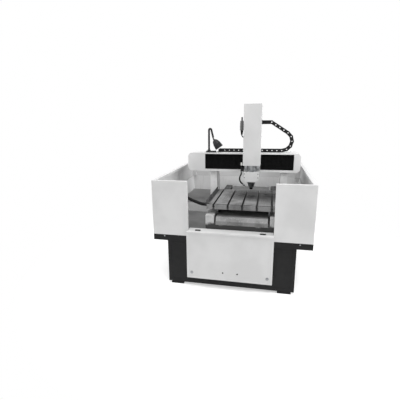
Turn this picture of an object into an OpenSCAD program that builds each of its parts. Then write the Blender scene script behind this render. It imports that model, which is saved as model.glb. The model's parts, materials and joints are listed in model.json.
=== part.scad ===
// Moving-table engraving machine with a fixed gantry, a covered head and a sheet-metal splash enclosure.
// Millimetres. +X to the operator's right, +Y away from the operator, +Z up.
// The origin lies on the floor, in the middle of the enclosure.

/* [Enclosure] */
// Width over the side walls
encl_w = 1300; // [1250:10:1600]
// Depth over the front and back walls
encl_d = 1450; // [1420:10:1800]
// Height of the wall tops above the floor
wall_top = 915; // [860:5:1100]
// Height of the walls
wall_h = 463; // [430:1:500]
// Thickness of the enclosure's sheet
sheet_t = 3; // [2:0.5:4]
// Width of the folded rim on top of the walls
rim_w = 30; // [20:1:45]
// Width of the loading opening between the front wings
opening_w = 700; // [660:10:800]
// Height of the horizontal seam where the inner tray ends, above the floor
seam_z = 724; // [690:2:760]
// Side of the two posts in the back corners
post_w = 45; // [30:1:60]
// Height of the raised floor behind the front well
deck_z = 548; // [520:1:570]
// Place of the step between the front well and the raised floor
step_y = 20; // [-60:5:60]

/* [Pedestal] */
// Width of the pedestal
base_w = 1060; // [1000:10:1200]
// Distance from the enclosure's front face back to the pedestal's
base_inset_front = 12; // [5:1:60]
// Distance from the enclosure's back face to the pedestal's
base_inset_back = 85; // [40:5:150]
// Height of the pedestal without its foot plates
base_h = 381; // [340:1:450]
// Wall of the pedestal's plate
base_t = 5; // [4:0.5:8]
// Thickness of the foot plates
foot_t = 20; // [12:1:30]
// Side of the square foot plates
foot_w = 110; // [80:5:140]
// Height of the black frame that carries the enclosure
skirt_h = 51; // [40:1:60]

/* [Front panel] */
// Width of the removable front panel
panel_w = 706; // [560:2:800]
// Height of the panel
panel_h = 412; // [380:2:440]
// How far the panel stands out of the enclosure's front face
panel_proud = 31; // [20:1:45]
// Depth of the sill on the panel's top
sill_d = 104; // [80:1:120]
// Width of the raised border round the panel's face
panel_border = 14; // [10:1:20]
// Diameter of the two drain holes low in the panel
drain_d = 14; // [8:1:20]

/* [Table] */
// Width of the T-slot table
table_w = 600; // [560:10:620]
// Depth of the table
table_d = 636; // [560:2:680]
// Thickness of the table
table_t = 40; // [32:1:50]
// Height of the table's working face above the floor
table_top = 701; // [690:1:720]
// Distance from the spindle's axis back to the table's rear edge at home
table_back = 152; // [120:1:200]
// Number of T-slots
slot_count = 5; // [3:1:5]
// Spacing of the T-slots
slot_pitch = 120; // [90:5:125]
// Width of a slot's throat
slot_throat = 12; // [10:1:16]
// Width of a slot's foot
slot_foot = 21; // [19:1:28]
// Depth of a slot
slot_depth = 22; // [18:1:26]
// Height of the guard strips over the table's face
guard_h = 34; // [15:1:50]
// Travel of the table towards the back
y_back = 484; // [400:1:490]

/* [Bed] */
// Width of each side wall of the bed
bed_wall = 71; // [55:1:90]
// Height of the bed's side walls above the floor
bed_top = 619; // [610:1:630]
// Size of the table's linear rails, across
y_rail_w = 23; // [20:1:25]
// Distance between the table's two rails
y_rail_pitch = 300; // [240:5:330]
// Diameter of the table's ball screw
y_screw_d = 25; // [20:1:32]

/* [Gantry] */
// Width of the opening that the bellows close
gantry_w = 870; // [840:10:900]
// Shift of the gantry and the table to the right of the enclosure's middle
gantry_x = 87; // [70:1:95]
// Width of the left end cap, which holds the motor
cap_left_w = 173; // [165:1:180]
// Width of the right end cap
cap_right_w = 60; // [40:1:75]
// Height of the beam's underside above the floor
beam_z = 893; // [880:1:960]
// Height of the beam
beam_h = 185; // [175:1:220]
// Place of the beam's front face
beam_y = -11; // [-20:1:-8]
// Depth of the beam over its covers
beam_d = 201; // [195:1:240]
// Height of the bellows opening
window_h = 150; // [146:1:156]
// Distance between the columns' inner faces
column_gap = 628; // [624:1:680]
// Width of a column
column_w = 68; // [60:1:100]
// Depth of a column's foot
column_d = 215; // [180:5:260]
// Diameter of the cross ball screw
x_screw_d = 20; // [16:1:25]

/* [Head] */
// Place of the spindle along the beam at home, from the gantry's middle
head_home = 41; // [-100:1:150]
// Width of the head cover
head_w = 158; // [150:1:180]
// Depth of the head cover
head_d = 167; // [165:1:200]
// Height of the head cover's top above the floor
head_top = 1531; // [1500:1:1650]
// Height of the head cover's open bottom above the floor
head_bottom = 975; // [965:1:990]
// Distance from the beam's front face forward to the spindle's axis
spindle_out = 108; // [106:1:108]
// Diameter of the spindle's body
spindle_d = 92; // [80:1:94]
// How far the slide can rise from the pose drawn here
z_up = 150; // [100:1:150]
// Diameter of the vertical ball screw
z_screw_d = 16; // [14:1:16]

/* [Cable chain] */
// Pitch of the links
link_pitch = 47; // [40:1:50]
// Height of a link
link_h = 36; // [30:1:42]
// Width of the chain over its side plates
link_w = 38; // [30:1:50]
// Number of links in the chain's bend
arc_links = 5; // [5:1:6]
// Number of whole pitches on the lower run
chain_run = 13; // [10:1:14]
// Slope of the upper run from the horizontal
chain_slope = 33; // [20:1:45]

/* [Work lamp] */
// Diameter of the lamp's neck
neck_d = 20; // [10:1:24]
// Height of the neck over the beam
neck_h = 232; // [160:2:300]
// Diameter of the shade's rim
shade_d = 84; // [60:1:100]
// Length of the shade
shade_l = 108; // [80:1:130]

/* [Fits] */
// Gap between a shaft and its bore, on the radius
run_fit = 0.05; // [0.02:0.01:0.1]
// Gap between parts that slide past each other
clear = 0.5; // [0.3:0.1:1]

/* [Hidden] */
$fn = 48;

// Enclosure and pedestal
front = -encl_d / 2;
back = encl_d / 2;
side = encl_w / 2;
wall_z = wall_top - wall_h;
base_z = foot_t;
base_top = foot_t + base_h;
base_y0 = front + base_inset_front;
base_y1 = back - base_inset_back;
panel_y = front - panel_proud;
panel_z = foot_t + 69;
panel_top = panel_z + panel_h;
wing_gap = 1;

// Spindle and table
head_x = gantry_x + head_home;
spindle_y = beam_y - spindle_out;
table_y1 = spindle_y + table_back;
table_y0 = table_y1 - table_d;
table_z = table_top - table_t;
table_l = gantry_x - table_w / 2;
gutter_w = 7;
bar_t = 12;

// Bed and way cover
bed_y0 = front + 77;
bed_y1 = back - 45;
bed_floor = 548;
bed_inner = table_w / 2 - bed_wall;
channel_z = 516;
channel_w = 110;
end_wall = 25;
block_h = 40;
y_block_l = 84;
y_block_w = 48;
rail_h = 22;
saddle_z = bed_floor + block_h;
saddle_t = 12;
cover_top = saddle_z + saddle_t + 7;
web_t = 9;
web_gap = 3;
cover_half = bed_inner - web_t - 2 * web_gap;
y_screw_z = bed_floor + 15;
y_motor_l = 110;
y_motor_w = 80;
saddle_y0 = table_y0 + 110;
saddle_y1 = table_y1 - 70;

// Gantry
beam_top = beam_z + beam_h;
cast_y = beam_y + 86;
beam_y1 = beam_y + beam_d;
window_z = beam_z + 22;
window_mid = window_z + window_h / 2;
window_l = gantry_x - gantry_w / 2;
window_r = gantry_x + gantry_w / 2;
column_x = column_gap / 2;
x_rail_w = 20;
x_rail_h = 17.5;
x_block_h = 30;
x_block_w = 44;
x_block_l = 70;
x_rail_pitch = 96;
x_screw_y = cast_y - 3;
bellows_d = 32;
bellows_y = beam_y + sheet_t + 1;
pleat = 12;
x_motor_w = 80;
x_motor_l = 112;

// Head
plate_t = 14;
plate_y = beam_y - 3;
plate_w = head_w - 2 * sheet_t;
plate_z = 845;
plate_top = 1380;
saddle_w = 150;
saddle_h = window_h - 8;
z_rail_w = 15;
z_rail_h = 12.5;
z_block_h = 26;
z_block_w = 34;
z_rail_pitch = 100;
z_plate_t = 12;
rail_face = plate_y - plate_t;
slide_back = rail_face - z_block_h;
slide_y = slide_back - z_plate_t;
slide_z = 840;
slide_top = 1130;
z_screw_y = rail_face - 15;
clamp_z = 820;
clamp_h = 95;
clamp_w = plate_w - 6;
clamp_front = spindle_y - 52;
cover_y0 = plate_y - head_d;
nose_h = 55;
shaft_d = 30;
z_motor_w = 50;
z_motor_l = 140;
arm_top = 950;
arm_slot = 40;
arm_slot_top = arm_top + z_up + 8;

// Chain
chain_y = beam_y + 106;
chain_z = beam_top + link_h / 2 - 0.2;
chain_turn = (180 - chain_slope) / arc_links;
chain_r = link_pitch / (2 * sin(chain_turn / 2));
chain_cx = window_r - 118;
chain_l = chain_cx - chain_run * link_pitch;
top_links = 4;
plate_out = 3;
hinge_d = 12;

// Lamp
lamp_x = window_l + 36;
lamp_y = beam_y + 43;

// ---------- Helpers ----------

// A box between two corners.
module block(a, b) {
    translate(a) cube(b - a);
}

// Cylinders along the three axes, from one end to the other.
module rod_x(d, x0, x1, y, z) {
    translate([x0, y, z]) rotate([0, 90, 0]) cylinder(d = d, h = x1 - x0);
}

module rod_y(d, y0, y1, x, z) {
    translate([x, y0, z]) rotate([-90, 0, 0]) cylinder(d = d, h = y1 - y0);
}

module rod_z(d, z0, z1, x, y) {
    translate([x, y, z0]) cylinder(d = d, h = z1 - z0);
}

// A rectangle with round corners, centred.
module round_rect(w, h, r) {
    square([w - 2 * r, h], center = true);
    square([w, h - 2 * r], center = true);
    for (x = [-1, 1], y = [-1, 1]) translate([x * (w / 2 - r), y * (h / 2 - r)]) circle(r = r);
}

// A slot with round ends, centred, its length along X.
module long_hole(l, w) {
    square([l - w, w], center = true);
    for (s = [-1, 1]) translate([s * (l - w) / 2, 0]) circle(d = w);
}

// Extrudes a section along X (drawn in Y and Z) or along Y (drawn in X and Z).
module along_x(x0, x1) {
    translate([x0, 0, 0]) rotate([90, 0, 90]) linear_extrude(x1 - x0) children();
}

module along_y(y0, y1) {
    translate([0, y1, 0]) rotate([90, 0, 0]) linear_extrude(y1 - y0) children();
}

// A linear rail's section, its foot on the X axis: waisted, with grooves for the balls.
module rail_section(w, h) {
    polygon([[-w / 2, 0], [w / 2, 0], [w / 2, h * 0.42], [w * 0.38, h * 0.6], [w / 2, h * 0.78],
        [w / 2, h], [-w / 2, h], [-w / 2, h * 0.78], [-w * 0.38, h * 0.6], [-w / 2, h * 0.42]]);
}

// A linear carriage's section, straddling a rail of the given section.
module carriage_section(w, h, rail_w, rail_height) {
    difference() {
        translate([-w / 2, h * 0.14]) square([w, h * 0.86]);
        translate([-rail_w / 2 - clear, -1]) square([rail_w + 2 * clear, rail_height + 1 + clear]);
    }
}

// A tube swept along a list of points: one ring of flat sides at each point.
function unit(v) = v / norm(v);
function tangent(p, i) = unit(p[min(i + 1, len(p) - 1)] - p[max(i - 1, 0)]);
function ring(p, i, r, n, up) =
    let (t = tangent(p, i), u = unit(cross(t, up)), v = cross(u, t))
    [for (k = [0:n - 1]) p[i] + r * (cos(360 * k / n) * u + sin(360 * k / n) * v)];

module tube(p, d, n = 10, up = [0, 1, 0.03]) {
    m = len(p);
    pts = [for (i = [0:m - 1]) each ring(p, i, d / 2, n, up)];
    sides = [for (i = [0:m - 2], k = [0:n - 1])
        [i * n + k, i * n + (k + 1) % n, (i + 1) * n + (k + 1) % n, (i + 1) * n + k]];
    ends = [[for (k = [n - 1:-1:0]) k], [for (k = [0:n - 1]) (m - 1) * n + k]];
    polyhedron(points = pts, faces = concat(sides, ends), convexity = 6);
}

// A point on the smooth curve through four points, and the whole curve through a list.
function spline_point(a, b, c, d, t) =
    0.5 * (2 * b + (c - a) * t + (2 * a - 5 * b + 4 * c - d) * t * t + (3 * b - a - 3 * c + d) * t * t * t);
function spline(p, steps) =
    let (n = len(p))
    [for (i = [0:n - 2], s = [0:steps - 1])
        spline_point(p[max(i - 1, 0)], p[i], p[i + 1], p[min(i + 2, n - 1)], s / steps), p[n - 1]];

// ---------- Pedestal ----------

module base_frame() {
    top_t = 12;
    recess = 2;
    post = 28;
    wall = base_t + recess;
    web = table_w / 2 - bed_wall / 2;
    bays = [[-base_w / 2 + wall, gantry_x - web - 4], [gantry_x - web + 4, gantry_x + web - 4],
        [gantry_x + web + 4, base_w / 2 - wall]];
    color("#262627") difference() {
        block([-base_w / 2, base_y0, base_z], [base_w / 2, base_y1, base_top]);
        // Three bays, parted by the webs that stand under the bed's side walls.
        for (x = bays) block([x[0], base_y0 + wall, base_z + base_t],
            [x[1], base_y1 - wall, base_top - top_t]);
        // Panels lie back between the posts.
        for (s = [-1, 1]) translate([s * base_w / 2, 0, 0])
            block([-recess, base_y0 + post, base_z + post], [recess, base_y1 - post, base_top - post]);
        block([-base_w / 2 + post, base_y0 - 1, base_z + post],
            [base_w / 2 - post, base_y0 + recess, base_top - post]);
        // Service openings behind the front panel and the rear cover.
        for (y = [base_y0, base_y1])
            block([-panel_w / 2 + 60, y - 20, panel_z + 50], [panel_w / 2 - 60, y + 20, base_top - 60]);
    }
}

module foot_plates() {
    inset = 23;
    bevel = 6;
    color("#202021")
    for (x = [-1, 1], y = [base_y0 + foot_w / 2, base_y1 - foot_w / 2])
        translate([x * (base_w / 2 - foot_w / 2 - inset), y, 0]) {
            linear_extrude(foot_t - bevel) square(foot_w, center = true);
            translate([0, 0, foot_t - bevel])
                linear_extrude(bevel, scale = 1 - 2 * bevel / foot_w) square(foot_w, center = true);
        }
}

module enclosure_frame() {
    wall = 4;
    flange = 40;
    bar = skirt_h - wall;
    bars = [front + 140, 260, back - 140];
    color("#1f1f20") {
        difference() {
            block([-side, front, base_top], [side, back, wall_z]);
            block([-side + wall, front + wall, base_top - 1], [side - wall, back - wall, wall_z - wall]);
            block([-side + flange, front + flange, base_top], [side - flange, back - flange, wall_z + 1]);
        }
        for (y = bars) {
            block([-side + wall, y, base_top], [gantry_x - table_w / 2 - 100, y + bar, wall_z - wall]);
            block([gantry_x + table_w / 2 + 100, y, base_top], [side - wall, y + bar, wall_z - wall]);
        }
    }
}

// ---------- Enclosure ----------

module splash_tray() {
    gap = sheet_t + 5;
    ledge = 60;
    tray_y0 = front + rim_w + sheet_t;
    foot = column_w + 24;
    color("#b9b9b7") difference() {
        union() {
            difference() {
                block([-side + gap, tray_y0, wall_z], [side - gap, back - gap, seam_z]);
                block([-side + gap + sheet_t, tray_y0 + sheet_t, wall_z + sheet_t],
                    [side - gap - sheet_t, back - gap - sheet_t, seam_z + 1]);
                block([-opening_w / 2, tray_y0 - 1, panel_top - sheet_t],
                    [opening_w / 2, tray_y0 + 9, seam_z + 1]);
                block([-side + gap + ledge, step_y + sheet_t, wall_z - 1],
                    [side - gap - ledge, back - gap - ledge, seam_z]);
            }
            block([-side + gap, step_y, wall_z], [side - gap, step_y + sheet_t, deck_z]);
            block([-side + gap, step_y, deck_z - sheet_t], [side - gap, back - gap, deck_z]);
        }
        block([gantry_x - table_w / 2 - wing_gap, bed_y0 - wing_gap, wall_z - 1],
            [gantry_x + table_w / 2 + wing_gap, bed_y1 + sheet_t + wing_gap, seam_z]);
        for (s = [-1, 1]) translate([gantry_x + s * (column_x + column_w / 2), 0, 0])
            block([-foot / 2 - wing_gap, step_y - 12 - wing_gap, wall_z - 1],
                [foot / 2 + wing_gap, step_y + column_d + 12 + wing_gap, deck_z + 1]);
    }
}

// One side of the enclosure, drawn at +X: the side sheet, the front wing and the folded rim.
module side_wall() {
    lip = 25;
    wing_x = opening_w / 2;
    color("#cfcfcd") difference() {
        union() {
            block([side - sheet_t, front, wall_z], [side, back, wall_top]);
            block([wing_x, front, wall_z], [side, front + sheet_t, wall_top]);
            block([wing_x, front, wall_z], [wing_x + sheet_t, front + rim_w, wall_top]);
            block([side - rim_w, front, wall_top - lip], [side, back, wall_top]);
            block([wing_x, front, wall_top - lip], [side, front + rim_w, wall_top]);
        }
        block([side - rim_w + sheet_t, front + sheet_t, wall_top - lip - 1],
            [side - sheet_t, back + 1, wall_top - sheet_t]);
        block([wing_x + sheet_t, front + sheet_t, wall_top - lip - 1],
            [side - rim_w + sheet_t + 1, front + rim_w - sheet_t, wall_top - sheet_t]);
        block([side - rim_w - 1, back - rim_w, wall_top - lip - 1],
            [side - sheet_t, back + 1, wall_top - sheet_t]);
    }
}

module side_wall_right() {
    side_wall();
}

module side_wall_left() {
    mirror([1, 0, 0]) side_wall();
}

module back_wall() {
    lip = 25;
    inner = side - sheet_t;
    color("#cfcfcd") {
        difference() {
            union() {
                block([-inner, back - sheet_t, wall_z], [inner, back, wall_top - sheet_t]);
                block([-side + rim_w, back - rim_w, wall_top - lip], [side - rim_w, back, wall_top]);
            }
            block([-side, back - rim_w + sheet_t, wall_top - lip - 1],
                [side, back - sheet_t, wall_top - sheet_t]);
        }
        for (s = [-1, 1]) mirror([s < 0 ? 1 : 0, 0, 0])
            difference() {
                block([inner - post_w, back - sheet_t - post_w, seam_z],
                    [inner, back - sheet_t, wall_top - lip]);
                block([inner - post_w + sheet_t, back - post_w, seam_z - 1],
                    [inner - sheet_t, back - 2 * sheet_t, wall_top]);
            }
    }
}

// A removable panel folded from one sheet, with a raised border; its face looks to -Y.
module folded_panel(w, h, depth_low, depth_high, high_z) {
    inset = 4;
    difference() {
        union() {
            block([-w / 2, 0, 0], [w / 2, depth_low, high_z]);
            block([-w / 2, 0, high_z - 1], [w / 2, depth_high, h]);
        }
        block([-w / 2 + sheet_t, inset + sheet_t, sheet_t], [w / 2 - sheet_t, depth_low + 1, h - sheet_t]);
        translate([0, inset, h / 2]) rotate([90, 0, 0])
            linear_extrude(inset + 1) round_rect(w - 2 * panel_border, h - 2 * panel_border, 8);
    }
}

module front_panel() {
    slot_w = 44;
    slot_h = 15;
    slot_x = 265;
    slot_y = panel_y + sill_d * 0.42;
    lock_d = 9;
    lock_x = 313;
    lock_z = panel_z + 50;
    drain_x = [-49, 71];
    drain_z = panel_z + 66;
    neck = opening_w / 2 - 2;
    color("#d2d2d0") difference() {
        union() {
            translate([0, panel_y, panel_z])
                folded_panel(panel_w, panel_h, base_y0 - panel_y, panel_proud - 2, base_top - panel_z - 2);
            block([-neck, panel_y + 8, panel_top - sheet_t], [neck, panel_y + sill_d, panel_top]);
            block([-neck, panel_y + sill_d - sheet_t, panel_top - 15], [neck, panel_y + sill_d, panel_top]);
        }
        for (s = [-1, 1]) {
            translate([s * slot_x, slot_y, panel_top - sheet_t - 1])
                linear_extrude(sheet_t + 2) long_hole(slot_w, slot_h);
            rod_y(lock_d, panel_y - 1, panel_y + 12, s * lock_x, lock_z);
        }
        for (x = drain_x) rod_y(drain_d, panel_y - 1, panel_y + 12, x, drain_z);
    }
}

module rear_cover() {
    depth = base_inset_back + panel_proud;
    vents = 8;
    vent_pitch = 40;
    color("#cfcfcd") difference() {
        mirror([0, 1, 0]) translate([0, panel_y, panel_z])
            folded_panel(panel_w, base_top - panel_z - 20, depth, depth, 60);
        for (i = [0:vents - 1])
            rod_y(8, back, back + panel_proud + 1, (i - (vents - 1) / 2) * vent_pitch, panel_z + 180);
    }
}

// ---------- Bed and table drive ----------

module bed() {
    half = table_w / 2;
    ear = column_x + column_w + 12;
    pockets = 6;
    step = (bed_y1 - bed_y0 - end_wall) / pockets;
    color("#c3c3c0") difference() {
        union() {
            along_y(bed_y0, bed_y1) translate([gantry_x, 0])
                polygon([[-half, base_top], [half, base_top], [half, bed_top], [bed_inner, bed_top],
                    [bed_inner, bed_floor], [channel_w / 2, bed_floor], [channel_w / 2, channel_z],
                    [-channel_w / 2, channel_z], [-channel_w / 2, bed_floor], [-bed_inner, bed_floor],
                    [-bed_inner, bed_top], [-half, bed_top]]);
            block([gantry_x - channel_w / 2, bed_y0, channel_z - 1],
                [gantry_x + channel_w / 2, bed_y0 + end_wall, bed_floor]);
            block([gantry_x - ear, step_y - 12, base_top],
                [gantry_x + ear, step_y + column_d + 12, bed_floor - 40]);
            for (s = [-1, 1]) translate([gantry_x + s * (column_x + column_w / 2), 0, 0])
                block([-column_w / 2 - 12, step_y - 12, base_top],
                    [column_w / 2 + 12, step_y + column_d + 12, deck_z]);
        }
        // Cored underside, with ribs left between the pockets.
        for (i = [0:pockets - 1]) {
            y = bed_y0 + end_wall + i * step;
            for (s = [-1, 1]) {
                block([gantry_x + s * 142 - 58, y, base_top - 1],
                    [gantry_x + s * 142 + 58, y + step - end_wall, 520]);
                block([gantry_x + s * (half - bed_wall / 2) - 20, y, base_top - 1],
                    [gantry_x + s * (half - bed_wall / 2) + 20, y + step - end_wall, bed_top - 30]);
            }
        }
    }
}

module way_cover() {
    slope_y = 22;
    drop = 35;
    foot = bed_floor - 8;
    y0 = bed_y0 - sheet_t;
    y1 = bed_y1 + sheet_t;
    color("#a9a9a7") along_x(gantry_x - cover_half, gantry_x + cover_half)
        polygon([[y0, foot], [y0, cover_top - drop], [y0 + slope_y, cover_top], [y1, cover_top],
            [y1, foot], [bed_y1, foot], [bed_y1, cover_top - sheet_t],
            [bed_y0 + slope_y - 1.3, cover_top - sheet_t], [bed_y0, cover_top - drop - 1], [bed_y0, foot]]);
}

module y_rails() {
    over = 15;
    color("#8f9192") for (s = [-1, 1])
        along_y(bed_y0 + over, saddle_y1 + y_back + over)
            translate([gantry_x + s * y_rail_pitch / 2, bed_floor]) rail_section(y_rail_w, rail_h);
}

// A ball screw along Z, turned down to a thinner journal at each end.
module screw_z(d, l, low_end, high_end) {
    cylinder(d = d * 0.6, h = l);
    translate([0, 0, low_end]) cylinder(d = d, h = l - low_end - high_end);
}

// A beam coupling on the end of a screw: a hub with slits cut in from both sides in turn.
module coupling_z(d, z0, l) {
    slits = 4;
    slit = 1.2;
    difference() {
        translate([0, 0, z0]) cylinder(d = d, h = l);
        for (i = [1:slits]) translate([i % 2 == 0 ? -d * 0.2 : -d, -d, z0 + l * i / (slits + 1)])
            cube([d * 1.2, 2 * d, slit]);
    }
}

// A bearing housing with its screw's bore along Z, its foot at -Y.
module housing_z(w, d, h, bore, foot) {
    difference() {
        translate([-w / 2, -foot, 0]) cube([w, foot + d, h]);
        translate([0, 0, -1]) cylinder(d = bore, h = h + 2);
        translate([0, 0, h - 3]) cylinder(d = bore * 1.7, h = 4);
    }
}

y_bearing_0 = bed_y0 + end_wall + 5;
y_bearing_1 = 470;
bearing_l = 28;
screw_end = bearing_l + 6;

module y_ballscrew() {
    tail = 42;
    color("#a6a8aa") translate([gantry_x, y_bearing_0 + 2, y_screw_z]) rotate([-90, 0, 0]) {
        l = y_bearing_1 + bearing_l + 2 - y_bearing_0;
        screw_z(y_screw_d, l, screw_end, screw_end);
        coupling_z(38, l, tail);
    }
}

module y_bearing_blocks() {
    color("#3a3b3d") for (y = [y_bearing_0, y_bearing_1])
        translate([gantry_x, y, y_screw_z]) rotate([-90, 0, 0]) mirror([0, 1, 0])
            housing_z(channel_w - 6, 21, bearing_l, y_screw_d * 0.6 + 2 * run_fit, y_screw_z - channel_z);
}

// A square servo motor along +Z from its flange, with cooling flutes and a rear cap.
module servo_z(w, l, pilot) {
    difference() {
        union() {
            translate([-w / 2, -w / 2, 0]) cube([w, w, 8]);
            translate([0, 0, 8]) linear_extrude(l * 0.68) round_rect(w - 4, w - 4, 6);
            translate([0, 0, 8 + l * 0.68]) linear_extrude(l * 0.32 - 8) round_rect(w - 10, w - 10, 10);
        }
        for (x = [-1, 1], y = [-1, 1]) translate([x * w * 0.42, y * w * 0.42, -1]) cylinder(d = 5, h = 10);
        translate([0, 0, -1]) cylinder(d = pilot, h = 4);
    }
}

module y_motor() {
    plate_y0 = y_bearing_1 + 80;
    color("#2b2c2e") {
        difference() {
            block([gantry_x - channel_w / 2 + 3, plate_y0, channel_z],
                [gantry_x + channel_w / 2 - 3, plate_y0 + 12, y_screw_z + y_motor_w / 2]);
            rod_y(44, plate_y0 - 1, plate_y0 + 13, gantry_x, y_screw_z);
        }
        translate([gantry_x, plate_y0 + 12, y_screw_z]) rotate([-90, 0, 0])
            servo_z(y_motor_w, y_motor_l, 40);
    }
}

module y_saddle() {
    outer = bed_inner - web_gap;
    flange = 30;
    color("#8b8d8f") along_y(saddle_y0, saddle_y1) translate([gantry_x, 0]) {
        translate([-outer, saddle_z]) square([2 * outer, saddle_t]);
        for (s = [-1, 1]) mirror([s < 0 ? 1 : 0, 0]) {
            translate([outer - web_t, saddle_z]) square([web_t, table_z - saddle_z]);
            translate([outer - flange, table_z - 10]) square([flange, 10]);
        }
    }
}

module y_carriages() {
    color("#6d7073") for (s = [-1, 1], y = [saddle_y0, saddle_y1 - y_block_l])
        along_y(y, y + y_block_l) translate([gantry_x + s * y_rail_pitch / 2, bed_floor])
            carriage_section(y_block_w, block_h, y_rail_w, rail_h);
}

module y_nut() {
    mid = (saddle_y0 + saddle_y1) / 2;
    color("#77797b") difference() {
        union() {
            block([gantry_x - 30, mid - 20, y_screw_z], [gantry_x + 30, mid + 20, saddle_z]);
            rod_y(46, mid - 34, mid + 34, gantry_x, y_screw_z);
        }
        rod_y(y_screw_d + 2 * run_fit, mid - 40, mid + 40, gantry_x, y_screw_z);
    }
}

// ---------- Table ----------

module t_slot() {
    foot_h = 9;
    translate([-slot_throat / 2, -slot_depth]) square([slot_throat, slot_depth + 1]);
    translate([-slot_foot / 2, -slot_depth]) square([slot_foot, foot_h]);
}

module t_slot_table() {
    gutter = 10;
    first = gantry_x - (slot_count - 1) * slot_pitch / 2;
    color("#8c8c8a") difference() {
        block([table_l, table_y0, table_z], [table_l + table_w, table_y1, table_top]);
        for (i = [0:slot_count - 1])
            along_y(table_y0 - 1, table_y1 + 1) translate([first + i * slot_pitch, table_top]) t_slot();
        block([table_l - 1, table_y0 + bar_t, table_top - gutter],
            [table_l + table_w + 1, table_y0 + bar_t + gutter_w, table_top + 1]);
    }
}

module table_guards() {
    t = 4;
    foot = 18;
    color("#2a2a2a") for (s = [-1, 1]) translate([gantry_x, 0, 0]) mirror([s < 0 ? 1 : 0, 0, 0])
        along_y(table_y0 + bar_t + gutter_w + 2, table_y1 - 40) {
            translate([table_w / 2, table_z + 6]) square([t, table_t - 6 + guard_h]);
            translate([table_w / 2 - foot, table_top]) square([foot + t, t]);
        }
}

module drain_hose() {
    hose_d = 28;
    start = [-side + 9 + sheet_t, -178, 690];
    end = [table_l - 4.6, table_y0 + 40, 690];
    way = [[-625, -178, 690], [-602, -181, 689], [-572, -197, 688], [-543, -228, 686], [-500, -279, 685],
        [-450, -339, 684], [-400, -398, 684], [-350, -457, 685], [-316, -497, 687], [-290, -527, 688],
        [-265, -549, 689], [-243, -560, 690], [-228, -563, 690]];
    color("#1c1c1d") tube(spline(concat([start], way, [end]), 2), hose_d, 10, [0, 0, 1]);
}

// ---------- Gantry ----------

// A cast column: a box that tapers towards the top, with a foot, a head and a cored back.
module column() {
    y0 = step_y - 2;
    wall = 12;
    foot = 22;
    top_d = beam_y1 - sheet_t - y0;
    color("#d6d6d4") difference() {
        union() {
            translate([-column_w / 2, 0, 0]) along_x(0, column_w)
                polygon([[y0, deck_z], [y0 + column_d, deck_z], [y0 + column_d, deck_z + foot],
                    [y0 + top_d, beam_z - 60], [y0 + top_d, beam_z], [y0, beam_z]]);
            block([-column_w / 2 - 8, y0 - 6, deck_z],
                [column_w / 2 + 8, y0 + column_d + 8, deck_z + foot]);
        }
        block([-column_w / 2 + wall, y0 + wall, deck_z + foot + 20],
            [column_w / 2 - wall, y0 + column_d + 9, beam_z - 60]);
        for (y = [y0 + 45, y0 + column_d - 45], x = [-1, 1])
            translate([x * (column_w / 2 - 2), y, deck_z - 1]) cylinder(d = 9, h = foot + 2);
    }
}

module column_left() {
    translate([gantry_x - column_x - column_w / 2, 0, 0]) column();
}

module column_right() {
    translate([gantry_x + column_x + column_w / 2, 0, 0]) column();
}

module beam() {
    wall = 14;
    channel = 30;
    channel_deep = 35;
    cells = 6;
    cell = (gantry_w - wall) / cells;
    y1 = beam_y1 - sheet_t;
    z1 = beam_top - sheet_t;
    low = window_mid - channel - wall;
    high = window_mid + channel + wall;
    color("#cbcbc9") difference() {
        block([window_l, cast_y, beam_z], [window_r, y1, z1]);
        // The screw's channel in the front, and the pockets that are cored from the back.
        block([window_l - 1, cast_y - 1, window_mid - channel],
            [window_r + 1, cast_y + channel_deep, window_mid + channel]);
        for (i = [0:cells - 1]) {
            x = [window_l + wall + i * cell, window_l + (i + 1) * cell];
            block([x[0], cast_y + wall, beam_z + wall], [x[1], y1 + 1, low]);
            block([x[0], cast_y + wall, high], [x[1], y1 + 1, z1 - wall]);
            block([x[0], cast_y + channel_deep + wall, low - 1], [x[1], y1 + 1, high + 1]);
        }
    }
}

module beam_cover() {
    frame = 4;
    lip = 30;
    color("#d6d6d4") difference() {
        union() {
            block([window_l, beam_y, beam_z], [window_r, beam_y + sheet_t, beam_top]);
            block([window_l, beam_y, beam_top - sheet_t], [window_r, beam_y1, beam_top]);
            block([window_l, beam_y, beam_z], [window_r, cast_y, beam_z + sheet_t]);
            block([window_l, beam_y1 - sheet_t, beam_top - lip], [window_r, beam_y1, beam_top]);
        }
        block([window_l + frame, beam_y - 1, window_z],
            [window_r - frame, beam_y + sheet_t + 1, window_z + window_h]);
    }
}

// Outline of an end cap in X and Z, its joint with the beam at X = 0 and its free side at X = w.
module cap_outline(w, inset) {
    r = 40;
    cut = 26;
    i = inset;
    k = min(r, w - 12);
    difference() {
        polygon([[0, i], [w - cut - i * 0.4, i], [w - i, cut + i * 0.4],
            [w - i, beam_h - i], [0, beam_h - i]]);
        difference() {
            translate([w - k, beam_h - k]) square([k + 1, k + 1]);
            translate([w - k, beam_h - k]) circle(r = k - i);
        }
    }
}

module end_cap(w) {
    color("#d6d6d4") difference() {
        along_y(beam_y, beam_y1) cap_outline(w, 0);
        along_y(beam_y + sheet_t, beam_y1 - sheet_t) translate([-1, 0]) cap_outline(w + 1, sheet_t);
    }
}

module end_cap_left() {
    translate([window_l, 0, beam_z]) mirror([1, 0, 0]) end_cap(cap_left_w);
}

module end_cap_right() {
    translate([window_r, 0, beam_z]) end_cap(cap_right_w);
}

module x_rails() {
    color("#8f9192") for (s = [-1, 1])
        along_x(window_l + 4, window_r - 4)
            translate([cast_y, window_mid + s * x_rail_pitch / 2]) rotate(90)
                rail_section(x_rail_w, x_rail_h);
}

x_bearing_0 = window_l + 8;
x_bearing_1 = window_r - 36;

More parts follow.
